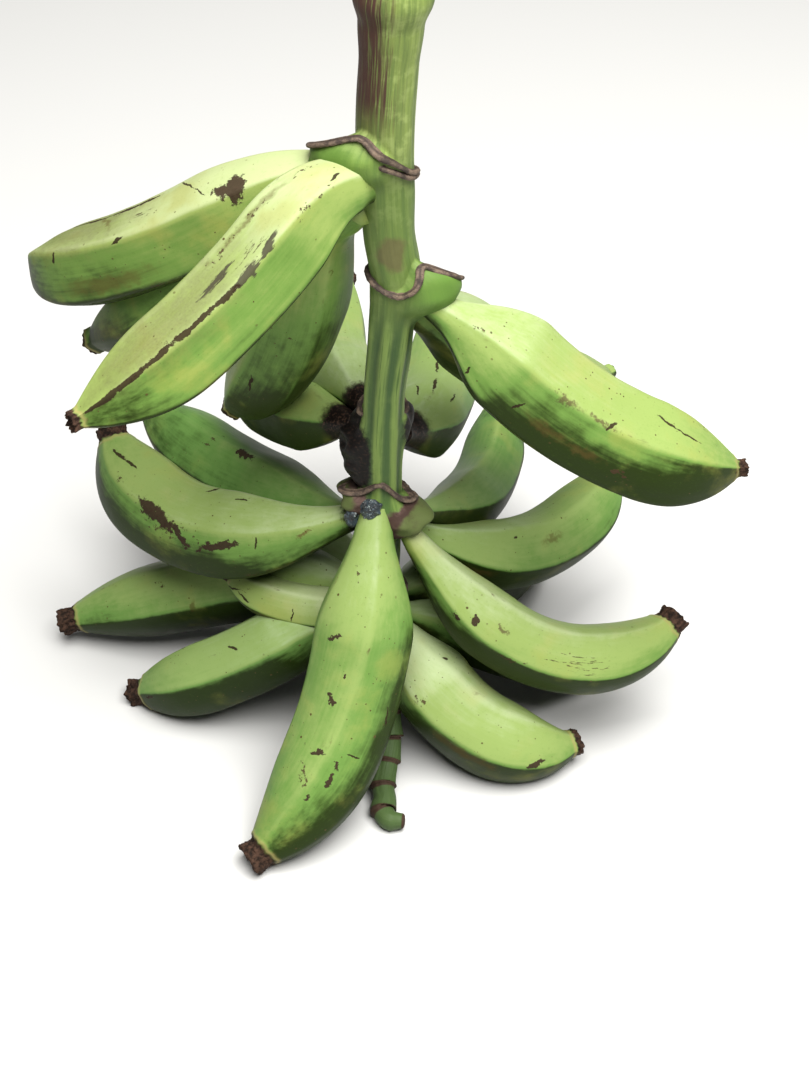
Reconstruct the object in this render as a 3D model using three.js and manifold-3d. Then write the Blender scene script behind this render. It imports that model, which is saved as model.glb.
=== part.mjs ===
// Plantain bunch on its cut stalk, standing on its lowest fingers and on the bent tail of the stalk.
// Millimetres, +Z up, floor at z = 0, +X to the right of the bunch, -Y towards its front.
import * as THREE from 'three'
import { mergeVertices } from 'three/addons/utils/BufferGeometryUtils.js'
import Module from 'manifold-3d'

const wasm = await Module()
wasm.setup()

// ---- common sizes -------------------------------------------------------------------------------
const GAP = 0.35                // clear gap between neighbouring pieces
const MIDDLE = [-2.7, 36.1]     // x and y of the middle of the bunch, moved to the origin at the end
const FINGER_SIDES = 15         // sample points round a finger
const FINGER_RINGS = 14         // rings along a finger
const RIDGES = 5                // blunt ridges along a finger
const RIDGE_DEPTH = 0.10        // how far the flats between ridges sink, as a share of the radius
const RIDGE_SHARPNESS = 0.96    // 1 is a knife edge, 0 is a round finger
const NECK_BEND_END = 0.28      // share of the length over which the neck turns down
const STALK_SIDES = 20          // sample points round the stalk
const STALK_RINGS = 54          // rings along the stalk and its tail
const FLOOR_SIZE = 900          // block that trims the resting spots flat
const SLIVER = 200              // cut-off scraps smaller than this, in mm3, are dropped

// Shape of a finger along its length, as shares of its length or of its greatest radius.
const PLUMP = { neck: 0.50, riseStart: 0.00, riseEnd: 0.30, fallStart: 0.66, fallEnd: 0.975, tip: 0.24 }
const LEANING = { neck: 0.50, riseStart: 0.00, riseEnd: 0.46, fallStart: 0.66, fallEnd: 0.975, tip: 0.30 }
const BLUNT = { neck: 0.40, riseStart: 0.05, riseEnd: 0.38, fallStart: 0.76, fallEnd: 1.000, tip: 0.58 }
const HOOKED = { neck: 0.30, riseStart: 0.05, riseEnd: 0.28, fallStart: 0.70, fallEnd: 0.980, tip: 0.18 }
const NECKED = { neck: 0.36, riseStart: 0.04, riseEnd: 0.33, fallStart: 0.63, fallEnd: 0.965, tip: 0.35 }
const SLENDER = { neck: 0.29, riseStart: 0.04, riseEnd: 0.45, fallStart: 0.73, fallEnd: 0.975, tip: 0.36 }
const CURLED = { neck: 0.34, riseStart: 0.04, riseEnd: 0.40, fallStart: 0.68, fallEnd: 0.975, tip: 0.43 }

// ---- fingers ------------------------------------------------------------------------------------
// root: start of the centre line inside the crown. azimuth: heading seen from above, 0 is +X.
// droop: how steeply the finger hangs at its root. curl: how much it turns up again to the tip.
// sweep: how much it turns sideways. lead: how much flatter the neck leaves the crown.
// late: 0 bends evenly, 1 bends mostly near the tip. roll: turn of the ridges about the centre line.
// A finger that stands on the floor is trimmed flat where it dips under z = 0.
// The angles, lengths and girths below were not chosen by hand: a least-squares fit in a separate scratch
// program solved for them, they were rounded, and a few were then changed by hand.
const FINGERS = [
  { name: 'finger_1_1', root: [-4, -5, 400], azimuth: -143, droop: 47, curl: 42, sweep: -3, lead: 66,
    length: 203, girth: 52, late: 0.6, roll: 52, shape: PLUMP },
  { name: 'finger_1_2', root: [-6, 2, 404], azimuth: 175.1, droop: 35.8, curl: 10.7, sweep: -53.3, lead: 36,
    length: 235, girth: 50.1, late: 1.16, roll: 42, shape: BLUNT },
  { name: 'finger_1_4', root: [-8, -8, 390], azimuth: 139, droop: 80.4, curl: 32.5, sweep: 0.1, lead: 53.2,
    length: 222.9, girth: 55, late: 0.6, roll: 10, shape: LEANING },
  { name: 'finger_1_3', root: [-3, -1, 392], azimuth: 170.5, droop: 48.1, curl: 11.6, sweep: -23.2, lead: 44.5,
    length: 224.7, girth: 48, late: 0.6, roll: 0, shape: NECKED },
  { name: 'finger_2_1', root: [24, -3, 327], azimuth: -16.7, droop: 51.6, curl: 45.5, sweep: 30.1, lead: 24.5,
    length: 219.1, girth: 60.8, late: 0.6, roll: 63, shape: HOOKED },
  { name: 'finger_2_2', root: [16, 4, 320], azimuth: 30.1, droop: 57.7, curl: 42.8, sweep: 24.3, lead: 21.5,
    length: 215, girth: 46.2, late: 0.6, roll: 0, shape: PLUMP },
  { name: 'finger_3_1', root: [-14, 8, 232], azimuth: 125, droop: 31, curl: 18, sweep: -18, lead: 4,
    length: 193, girth: 44, late: 0.6, roll: 20, shape: NECKED },
  { name: 'finger_3_2', root: [-8, 17, 234], azimuth: 106, droop: 32, curl: 44, sweep: -27, lead: 24,
    length: 203, girth: 43, late: 0.6, roll: 0, shape: NECKED },
  { name: 'finger_3_3', root: [12, 14, 221], azimuth: 71, droop: 33, curl: 46, sweep: 32, lead: 0,
    length: 203, girth: 49, late: 0.6, roll: 30, shape: NECKED },
  { name: 'finger_4_1', root: [-3, -9, 184], azimuth: -97.1, droop: 73.3, curl: 51.9, sweep: -53.6, lead: 18.4,
    length: 235.5, girth: 60.6, late: 0.6, roll: 71, shape: NECKED },
  { name: 'finger_4_2', root: [-7, -2, 175], azimuth: 171.1, droop: 35.8, curl: 71.3, sweep: -59.5, lead: 4.3,
    length: 221.9, girth: 56.6, late: 0.6, roll: 43, shape: SLENDER },
  { name: 'finger_4_3', root: [-14, 5, 166], azimuth: 129.5, droop: 27.5, curl: 38.5, sweep: 3.6, lead: -3.6,
    length: 233.4, girth: 50, late: 0.6, roll: 10, shape: SLENDER },
  { name: 'finger_4_4', root: [14, -6, 166], azimuth: -29.9, droop: 59.3, curl: 82.8, sweep: 76.9, lead: 10.3,
    length: 219, girth: 45.3, late: 0.6, roll: 24, shape: CURLED },
  { name: 'finger_4_5', root: [9, 0, 165], azimuth: 21.1, droop: 47.7, curl: 78.1, sweep: 46.6, lead: 1.4,
    length: 216.1, girth: 46.5, late: 0.6, roll: 31, shape: SLENDER },
  { name: 'finger_4_6', root: [20, 2, 171], azimuth: 59.7, droop: 44.7, curl: 62.6, sweep: 32.8, lead: 9.2,
    length: 221.4, girth: 43.4, late: 0.6, roll: 20, shape: SLENDER },
  { name: 'finger_5_1', root: [-7, 3, 101], azimuth: 149, droop: 32, curl: 14, sweep: 36, lead: 41,
    length: 239, girth: 50.5, late: 0.6, roll: 10, shape: NECKED },
  { name: 'finger_5_2', root: [-7, -4, 88], azimuth: -175.5, droop: 40.8, curl: 14.8, sweep: -26.7, lead: 52.7,
    length: 182.9, girth: 48, late: 0.6, roll: 30, shape: NECKED },
  { name: 'finger_5_3', root: [-6, -14, 107], azimuth: 168.7, droop: 13.7, curl: 24.2, sweep: -31.4, lead: -8.9,
    length: 101.5, girth: 29.2, late: 0.6, roll: 0, shape: NECKED },
  { name: 'finger_5_4', root: [7, -8, 94], azimuth: -49, droop: 55.6, curl: 59, sweep: 75, lead: 7,
    length: 157, girth: 53, late: 0.6, roll: 20, shape: NECKED },
  { name: 'finger_5_5', root: [10, -1, 92], azimuth: 13, droop: 45.4, curl: 35, sweep: 11, lead: 24,
    length: 183, girth: 45, late: 0.6, roll: 0, shape: NECKED },
  { name: 'finger_5_6', root: [-4, 8, 98], azimuth: 120, droop: 36.1, curl: 11, sweep: 19, lead: 44,
    length: 217, girth: 47, late: 0.6, roll: 40, shape: NECKED },
  { name: 'finger_5_7', root: [6, 8, 98], azimuth: 55, droop: 42.3, curl: 27, sweep: -6, lead: 23,
    length: 195, girth: 48, late: 0.6, roll: 10, shape: NECKED },
]

// ---- stalk --------------------------------------------------------------------------------------
// Stations down the stalk from its cut end to the tip of its tail.
const STALK = [
  { at: [10.5, 0, 545], radius: 16.5 },
  { at: [9.5, 0, 520], radius: 17.5 },
  { at: [8.5, 0, 504], radius: 20.3 },
  { at: [7.5, 0, 489], radius: 16.6 },
  { at: [6.2, 0, 467], radius: 15.0 },
  { at: [4.2, 0, 430], radius: 15.2 },
  { at: [4.5, 0, 400], radius: 14.6 },
  { at: [6, 0, 368], radius: 13.8 },
  { at: [9, 0, 342], radius: 13.8 },
  { at: [7, 0, 312], radius: 12.2 },
  { at: [2.5, 0, 262], radius: 11.3 },
  { at: [1, 0, 212], radius: 11.3 },
  { at: [0, 0, 170], radius: 11.0 },
  { at: [0, 0, 120], radius: 10.6 },
  { at: [2, -8, 80], radius: 9.5 },
  { at: [4, -25, 50], radius: 8.0 },
  { at: [5, -40, 32], radius: 6.8 },
  { at: [5, -49, 23], radius: 6.8 },
  { at: [3, -60, 16], radius: 6.8 },
  { at: [1, -72, 11], radius: 6.8 },
  { at: [2, -82, 8], radius: 6.8 },
  { at: [1, -90, 6.2], radius: 6.6 },
  { at: [5, -96, 6], radius: 6.6 },
  { at: [12, -97, 6], radius: 5.0 },
]
// Cushions the hands grow from. facing: azimuth of the swollen side. spread: 0 swells all round.
const CUSHIONS = [
  { height: 408, facing: -172, swell: 23, half: 20, spread: 2.2 },
  { height: 417, facing: -128, swell: 5, half: 11, spread: 4 },
  { height: 334, facing: 2, swell: 21, half: 20, spread: 2.2 },
  { height: 341, facing: -42, swell: 4, half: 10, spread: 4 },
  { height: 233, facing: 95, swell: 14, half: 15, spread: 1.2 },
  { height: 176, facing: -90, swell: 5, half: 16, spread: 0 },
  { height: 97, facing: -90, swell: 6, half: 14, spread: 0 },
]
// Dried stubs of fingers that never grew.
const STUBS = [
  { height: 172, facing: -12, swell: 17, half: 11, spread: 5 },
  { height: 187, facing: 178, swell: 12, half: 7, spread: 7 },
]
// Raised scars left by the shed bracts. Each leans down away from its facing side and has one steep
// crest, or a dip where the crest is negative.
const SCARS = [
  { height: 415, facing: 180, tilt: 3, crestAt: -120, crest: 19 },
  { height: 348, facing: -30, tilt: 3, crestAt: -110, crest: -6 },
  { height: 246, facing: 95, tilt: 3, crestAt: -80, crest: -4 },
  { height: 187, facing: 180, tilt: 3, crestAt: -90, crest: 16 },
  { height: 112, facing: 90, tilt: 2, crestAt: -90, crest: -4 },
]
const SCAR_ROPE = 2.4           // radius of the raised scar
const SCAR_SIDES = 5
const SCAR_STEPS = 22
const RIB_COUNT = 5             // shallow ribs along the lower stalk
const RIB_DEPTH = 0.05
const RIB_RANGE = [120, 330]    // heights between which the ribs show
const TAIL_LEDGES = [0.865, 0.892, 0.918, 0.946, 0.975] // where flower scars ring the tail
const TAIL_FLARE = 1.7          // how far a flower scar stands out

// ---- colours ------------------------------------------------------------------------------------
const skin = (hex) => new THREE.MeshStandardMaterial({ color: hex, roughness: 0.55, metalness: 0 })
const TOP_SKIN = skin(0xa9bb6a)
const BACK_SKIN = skin(0x6f8f3f)
const LOWER_SKIN = skin(0x86a64c)
const SKIN_OF_HAND = { 1: TOP_SKIN, 2: TOP_SKIN, 3: BACK_SKIN, 4: LOWER_SKIN, 5: LOWER_SKIN }
const STALK_BARK = new THREE.MeshStandardMaterial({ color: 0x8a9a52, roughness: 0.7, metalness: 0 })

const radians = (degrees) => degrees * Math.PI / 180

function ease(value) {
  const x = Math.min(1, Math.max(0, value))
  return x * x * (3 - 2 * x)
}

// Radius along a finger: a neck that swells, a long belly and a taper to the blunt flower end.
function fingerRadius(u, { girth, shape }) {
  const swell = ease((u - shape.riseStart) / (shape.riseEnd - shape.riseStart)) ** 0.85
  const taper = Math.min(1, Math.max(0, (u - shape.fallStart) / (shape.fallEnd - shape.fallStart))) ** 2.2
  const neck = shape.neck + (1 - shape.neck) * swell
  return girth / 2 * neck * (1 - (1 - shape.tip) * taper)
}

// Heading of the centre line at share u of its length, as a unit vector.
function fingerHeading(u, f) {
  const turn = (1 - f.late) * u + f.late * u * u
  const pitch = radians(-f.droop + f.curl * turn + f.lead * (1 - ease(u / NECK_BEND_END)))
  const azimuth = radians(f.azimuth + f.sweep * turn)
  const flat = Math.cos(pitch)
  const along = new THREE.Vector3(flat * Math.cos(azimuth), flat * Math.sin(azimuth), Math.sin(pitch))
  const side = new THREE.Vector3(-Math.sin(azimuth), Math.cos(azimuth), 0)
  return { along, side, up: along.clone().cross(side) }
}

// Centre line walked in small steps from the root; index i is at share i / steps.
function fingerLine(f, steps) {
  const points = [new THREE.Vector3(...f.root)]
  for (let i = 0; i < steps; i++) {
    const { along } = fingerHeading((i + 0.5) / steps, f)
    points.push(points[i].clone().addScaledVector(along, f.length / steps))
  }
  return points
}

// Distance from the centre line to the ribbed skin, as a share of the radius.
function ridgeShare(angle, roll) {
  const wave = Math.cos(RIDGES * (angle - radians(roll)) / 2)
  return 1 - RIDGE_DEPTH * Math.sqrt(1 - RIDGE_SHARPNESS * wave * wave)
}

// Rings of points joined into a closed skin, with a fan at each end.
function skinOver(rings, startPoint, endPoint) {
  const sides = rings[0].length
  const positions = rings.flat().concat([startPoint, endPoint]).flatMap((p) => [p.x, p.y, p.z])
  const first = rings.length * sides
  const faces = []
  for (let k = 0; k < sides; k++) {
    const next = (k + 1) % sides
    const last = (rings.length - 1) * sides
    faces.push(first, next, k, first + 1, last + k, last + next)
    for (let i = 0; i < rings.length - 1; i++) {
      const a = i * sides + k
      const b = i * sides + next
      faces.push(a, b, a + sides, b, b + sides, a + sides)
    }
  }
  const geometry = new THREE.BufferGeometry()
  geometry.setAttribute('position', new THREE.Float32BufferAttribute(positions, 3))
  geometry.setIndex(faces)
  return geometry
}

function toSolid(geometry) {
  const bare = new THREE.BufferGeometry()
  bare.setAttribute('position', geometry.getAttribute('position'))
  bare.setIndex(geometry.getIndex())
  const merged = mergeVertices(bare, 1e-4)
  const vertProperties = new Float32Array(merged.getAttribute('position').array)
  const triVerts = new Uint32Array(merged.getIndex().array)
  const solid = new wasm.Manifold(new wasm.Mesh({ numProp: 3, vertProperties, triVerts }))
  return solid.volume() > 0 ? solid : inverted(vertProperties, triVerts)
}

function inverted(vertProperties, triVerts) {
  const flipped = new Uint32Array(triVerts.length)
  for (let i = 0; i < triVerts.length; i += 3) {
    flipped.set([triVerts[i], triVerts[i + 2], triVerts[i + 1]], i)
  }
  return new wasm.Manifold(new wasm.Mesh({ numProp: 3, vertProperties, triVerts: flipped }))
}

// Rings stand closer together at the neck and at the flower end, where the shape changes fastest.
function ringShare(i) {
  const t = i / (FINGER_RINGS - 1)
  return t - 0.055 * Math.sin(2 * Math.PI * t)
}

function fingerSolid(f, grow) {
  const steps = 200
  const line = fingerLine(f, steps)
  const rings = []
  for (let i = 0; i < FINGER_RINGS; i++) {
    const u = ringShare(i)
    const centre = line[Math.round(u * steps)]
    const { side, up } = fingerHeading(u, f)
    const radius = fingerRadius(u, f) + grow
    const ring = []
    for (let k = 0; k < FINGER_SIDES; k++) {
      const angle = 2 * Math.PI * k / FINGER_SIDES + radians(f.roll)
      const reach = radius * ridgeShare(angle, f.roll)
      ring.push(centre.clone().addScaledVector(side, reach * Math.cos(angle))
        .addScaledVector(up, reach * Math.sin(angle)))
    }
    rings.push(ring)
  }
  const tip = line[steps].clone().addScaledVector(fingerHeading(1, f).along, 2.5 + grow)
  return toSolid(skinOver(rings, line[0], tip))
}

// ---- stalk --------------------------------------------------------------------------------------
const stalkCurve = new THREE.CatmullRomCurve3(STALK.map((s) => new THREE.Vector3(...s.at)), false, 'centripetal')

// Share of the way along the stalk at which each station stands.
function stationShares() {
  const lengths = [0]
  for (let i = 1; i < STALK.length; i++) {
    const step = new THREE.Vector3(...STALK[i].at).distanceTo(new THREE.Vector3(...STALK[i - 1].at))
    lengths.push(lengths[i - 1] + step)
  }
  return lengths.map((length) => length / lengths[lengths.length - 1])
}
const SHARES = stationShares()

function stationAt(t) {
  let i = 1
  while (i < SHARES.length - 1 && SHARES[i] < t) i++
  const mix = (t - SHARES[i - 1]) / (SHARES[i] - SHARES[i - 1])
  return { i, mix: Math.min(1, Math.max(0, mix)) }
}

function plainRadius(t) {
  const { i, mix } = stationAt(t)
  return STALK[i - 1].radius + (STALK[i].radius - STALK[i - 1].radius) * ease(mix)
}

// A tail joint widens slowly towards its scar and steps in sharply below it.
function tailFlare(t) {
  let flare = 0
  for (let i = 0; i < TAIL_LEDGES.length; i++) {
    const start = i === 0 ? TAIL_LEDGES[0] - 0.03 : TAIL_LEDGES[i - 1]
    if (t > start && t <= TAIL_LEDGES[i]) flare = TAIL_FLARE * ((t - start) / (TAIL_LEDGES[i] - start)) ** 2
  }
  return flare
}

function facingShare(angle, facing, spread) {
  return ((1 + Math.cos(angle - radians(facing))) / 2) ** spread
}

function cushionSwell(angle, height) {
  let swell = 0
  for (const c of CUSHIONS.concat(STUBS)) {
    const rise = Math.exp(-(Math.abs((height - c.height) / c.half) ** 3))
    swell += c.swell * rise * facingShare(angle, c.facing, c.spread)
  }
  return swell
}

function ribShare(angle, height) {
  const fade = ease((height - RIB_RANGE[0]) / 25) * ease((RIB_RANGE[1] - height) / 25)
  return 1 + RIB_DEPTH * fade * Math.cos(RIB_COUNT * angle)
}

// Rings stand at even steps, with extra ones where the tail carries its ledges.
function stalkShares() {
  const shares = []
  for (let i = 0; i < STALK_RINGS; i++) shares.push(i / (STALK_RINGS - 1))
  for (const ledge of TAIL_LEDGES) shares.push(ledge, ledge + 0.002)
  return shares.sort((a, b) => a - b).filter((t, i, all) => i === 0 || t - all[i - 1] > 0.0015)
}

function stalkBody(grow) {
  const rings = []
  let side = new THREE.Vector3(1, 0, 0)
  let along = new THREE.Vector3()
  const shares = stalkShares()
  for (const t of shares) {
    const centre = stalkCurve.getPointAt(t)
    along = stalkCurve.getTangentAt(t)
    side = side.clone().addScaledVector(along, -side.dot(along)).normalize()
    const up = along.clone().cross(side)
    const ring = []
    for (let k = 0; k < STALK_SIDES; k++) {
      const turn = 2 * Math.PI * k / STALK_SIDES
      const out = side.clone().multiplyScalar(Math.cos(turn)).addScaledVector(up, Math.sin(turn))
      const angle = Math.atan2(out.y, out.x)
      const swell = centre.z > 60 ? cushionSwell(angle, centre.z) : 0
      const radius = plainRadius(t) * ribShare(angle, centre.z) + swell + tailFlare(t) + grow
      ring.push(centre.clone().addScaledVector(out, radius))
    }
    rings.push(ring)
  }
  const start = stalkCurve.getPointAt(0)
  const end = stalkCurve.getPointAt(1).addScaledVector(along, 2.5 + grow)
  return toSolid(skinOver(rings, start, end))
}

function stalkCentreAt(height) {
  let i = 1
  while (i < STALK.length - 1 && STALK[i].at[2] > height) i++
  const [upper, lower] = [STALK[i - 1], STALK[i]]
  const mix = (upper.at[2] - height) / (upper.at[2] - lower.at[2])
  const x = upper.at[0] + (lower.at[0] - upper.at[0]) * mix
  return { x, y: 0, radius: upper.radius + (lower.radius - upper.radius) * mix }
}

// A raised scar is a closed rope that follows the skin of the stalk and cushion.
function scarRope(scar, grow) {
  const centre = stalkCentreAt(scar.height)
  const path = []
  for (let k = 0; k < SCAR_STEPS; k++) {
    const angle = 2 * Math.PI * k / SCAR_STEPS
    const crest = scar.crest * Math.exp(2.5 * (Math.cos(angle - radians(scar.crestAt)) - 1))
    const z = scar.height + scar.tilt * Math.cos(angle - radians(scar.facing)) + crest
    const radius = centre.radius + cushionSwell(angle, z)
    path.push(new THREE.Vector3(centre.x + radius * Math.cos(angle), centre.y + radius * Math.sin(angle), z))
  }
  return ropeSolid(path, SCAR_ROPE + grow)
}

function ropeSolid(path, thickness) {
  const positions = []
  const faces = []
  const count = path.length
  for (let k = 0; k < count; k++) {
    const along = path[(k + 1) % count].clone().sub(path[(k + count - 1) % count]).normalize()
    const side = new THREE.Vector3(0, 0, 1).cross(along).normalize()
    const up = along.clone().cross(side)
    for (let s = 0; s < SCAR_SIDES; s++) {
      const angle = 2 * Math.PI * s / SCAR_SIDES
      const p = path[k].clone().addScaledVector(side, thickness * Math.cos(angle))
        .addScaledVector(up, thickness * Math.sin(angle))
      positions.push(p.x, p.y, p.z)
      const a = k * SCAR_SIDES + s
      const b = k * SCAR_SIDES + (s + 1) % SCAR_SIDES
      const c = ((k + 1) % count) * SCAR_SIDES + s
      const d = ((k + 1) % count) * SCAR_SIDES + (s + 1) % SCAR_SIDES
      faces.push(a, b, c, b, d, c)
    }
  }
  const geometry = new THREE.BufferGeometry()
  geometry.setAttribute('position', new THREE.Float32BufferAttribute(positions, 3))
  geometry.setIndex(faces)
  return toSolid(geometry)
}

// ---- putting the bunch together -----------------------------------------------------------------
const underFloor = toSolid(
  new THREE.BoxGeometry(FLOOR_SIZE, FLOOR_SIZE, FLOOR_SIZE).translate(0, 0, -FLOOR_SIZE / 2))

function boxesMeet(a, b) {
  const [p, q] = [a.boundingBox(), b.boundingBox()]
  return [0, 1, 2].every((i) => p.min[i] < q.max[i] && q.min[i] < p.max[i])
}

function biggestPiece(solid) {
  const pieces = solid.decompose().filter((piece) => piece.volume() > SLIVER)
  pieces.sort((a, b) => b.volume() - a.volume())
  return pieces[0]
}

function cutClear(solid, grownNeighbours) {
  let rest = solid
  for (const other of grownNeighbours) {
    if (boxesMeet(rest, other)) rest = rest.subtract(other)
  }
  if (rest.boundingBox().min[2] < 0) rest = rest.subtract(underFloor)
  return biggestPiece(rest)
}

function toMesh(solid, name, material) {
  const { vertProperties, triVerts, numProp } = solid.getMesh()
  const positions = new Float32Array(vertProperties.length / numProp * 3)
  for (let i = 0; i < positions.length / 3; i++) {
    for (let axis = 0; axis < 3; axis++) positions[i * 3 + axis] = vertProperties[i * numProp + axis]
  }
  const geometry = new THREE.BufferGeometry()
  geometry.setAttribute('position', new THREE.BufferAttribute(positions, 3))
  geometry.setIndex(new THREE.BufferAttribute(new Uint32Array(triVerts), 1))
  geometry.translate(-MIDDLE[0], -MIDDLE[1], 0)
  geometry.computeVertexNormals()
  const mesh = new THREE.Mesh(geometry, material)
  mesh.name = name
  return mesh
}

function stalkSolid(grow) {
  return SCARS.reduce((body, scar) => body.add(scarRope(scar, grow)), stalkBody(grow))
}

const bunch = new THREE.Group()
bunch.name = 'plantain_bunch'
bunch.add(toMesh(cutClear(stalkSolid(0), []), 'stalk', STALK_BARK))

const grown = [stalkSolid(GAP * 1.1)]
for (const finger of FINGERS) {
  const solid = cutClear(fingerSolid(finger, 0), grown)
  const hand = finger.name.split('_')[1]
  bunch.add(toMesh(solid, finger.name, SKIN_OF_HAND[hand]))
  grown.push(fingerSolid(finger, GAP))
}

export default bunch
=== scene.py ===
"""Plantain bunch on its cut stalk: fine skins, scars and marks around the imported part.

Lengths in the tables are millimetres in the bunch's working frame, whose vertical axis runs down the
stalk. MIDDLE moves them to the part's own frame, and meshes are written in metres.
"""
from collections import namedtuple

import bpy
import numpy as np
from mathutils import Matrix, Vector


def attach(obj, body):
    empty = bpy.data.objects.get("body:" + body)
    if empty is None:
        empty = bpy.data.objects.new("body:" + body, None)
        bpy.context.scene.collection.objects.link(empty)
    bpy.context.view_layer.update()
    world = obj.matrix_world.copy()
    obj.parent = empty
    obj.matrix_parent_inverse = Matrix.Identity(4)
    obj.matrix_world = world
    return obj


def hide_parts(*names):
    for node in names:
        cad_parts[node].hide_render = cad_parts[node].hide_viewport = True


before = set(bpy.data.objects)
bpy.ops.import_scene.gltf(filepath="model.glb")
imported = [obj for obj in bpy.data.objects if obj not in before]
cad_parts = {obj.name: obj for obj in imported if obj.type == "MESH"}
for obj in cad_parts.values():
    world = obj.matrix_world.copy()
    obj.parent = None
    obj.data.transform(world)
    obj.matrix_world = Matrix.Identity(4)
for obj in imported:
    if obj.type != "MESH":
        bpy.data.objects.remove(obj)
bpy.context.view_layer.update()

bl_info = {
    "name": "Plantain Bunch",
    "version": (1, 0, 0),
    "blender": (4, 5, 0),
    "location": "3D View > Sidebar > Plantain",
    "description": "Makes a bunch of green plantains on its stalk, with ridged and marked skins",
    "category": "Add Mesh",
}

MM = 0.001                     # metres in a millimetre
MIDDLE = (-2.7, 36.1)          # x and y of the middle of the bunch in the working frame, mm
RIDGES = 5                     # blunt ridges along a finger
RIDGE_TWIST = 6.0              # degrees that they turn from root to tip
CREST_BELLS = (16, 7, 6.5)     # widths in degrees of a crest's foot, its pinched top and its chafed line
RIDGE_START = 0.15             # share of their depth that they have at the root
RIDGES_FULL = 0.20             # share of the length where they reach it all
CREST_UNEVEN = 0.35            # how far the crests' seeded weights go either way
CREST_PINCH = 0.22             # height of a crest's pinched top, as a share of the ridge depth
NECK_BEND_END = 0.28           # share of the length over which the neck turns down
TUCKED_RADIUS = 0.75           # share of its radius that a finger has inside the crown
TUCKED_LENGTH = 15             # mm over which it reaches it all
CAP_WANDER = 1.1               # how far the border of the withered end wanders, mm
CAP_EDGE = 1.4                 # mm over which the skin withers there
RIM_PLACE = -0.9               # middle of the pale rim before that border, mm
RIM_WIDTH = 1.1                # half its width, mm
PATTERN_SHIFT = 3              # each finger reads its patterns up to this far away, m
FINGER_SEED = 7919             # times the sum of the letters of its name
STALK_SEED = 4211
SCAR_SEED = 900                # plus its place in the list

# ---- fingers
# Shares of the length (rise, fall) and of the greatest radius (neck, tip).
Shape = namedtuple("Shape", "neck rise fall tip")
PLUMP = Shape(neck=0.50, rise=(0.00, 0.30), fall=(0.66, 0.975), tip=0.24)
LEANING = Shape(neck=0.50, rise=(0.00, 0.46), fall=(0.66, 0.975), tip=0.30)
BLUNT = Shape(neck=0.40, rise=(0.05, 0.38), fall=(0.76, 1.000), tip=0.58)
HOOKED = Shape(neck=0.30, rise=(0.05, 0.28), fall=(0.70, 0.980), tip=0.18)
NECKED = Shape(neck=0.36, rise=(0.04, 0.33), fall=(0.63, 0.965), tip=0.35)
SLENDER = Shape(neck=0.29, rise=(0.04, 0.45), fall=(0.73, 0.975), tip=0.36)
CURLED = Shape(neck=0.34, rise=(0.04, 0.40), fall=(0.68, 0.975), tip=0.43)

# root: start of the centre line in the crown, mm. azimuth: heading from above. droop: how steeply the
# finger hangs at its root. curl and sweep: how much it turns up and sideways to its tip. lead: how much
# flatter the neck leaves the crown. late: 0 bends evenly, 1 near the tip. roll: turn of the ridges.
# tone: paler (+) or deeper (-) skin. warm: yellower (+) or bluer (-). worn: share of chafed skin.
# cap: length of the withered flower end, mm. rot: how dark the neck is, partly rot and partly painted shade
# where it goes into the crown. keel: how strongly the finger is ridged.
Finger = namedtuple(
    "Finger",
    "name root azimuth droop curl sweep lead length girth roll shape late tone warm worn cap rot keel",
    defaults=(NECKED, 0.6, 0.0, 0.0, 0.3, 8.0, 0.0, 0.75))  # from shape to keel

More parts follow.
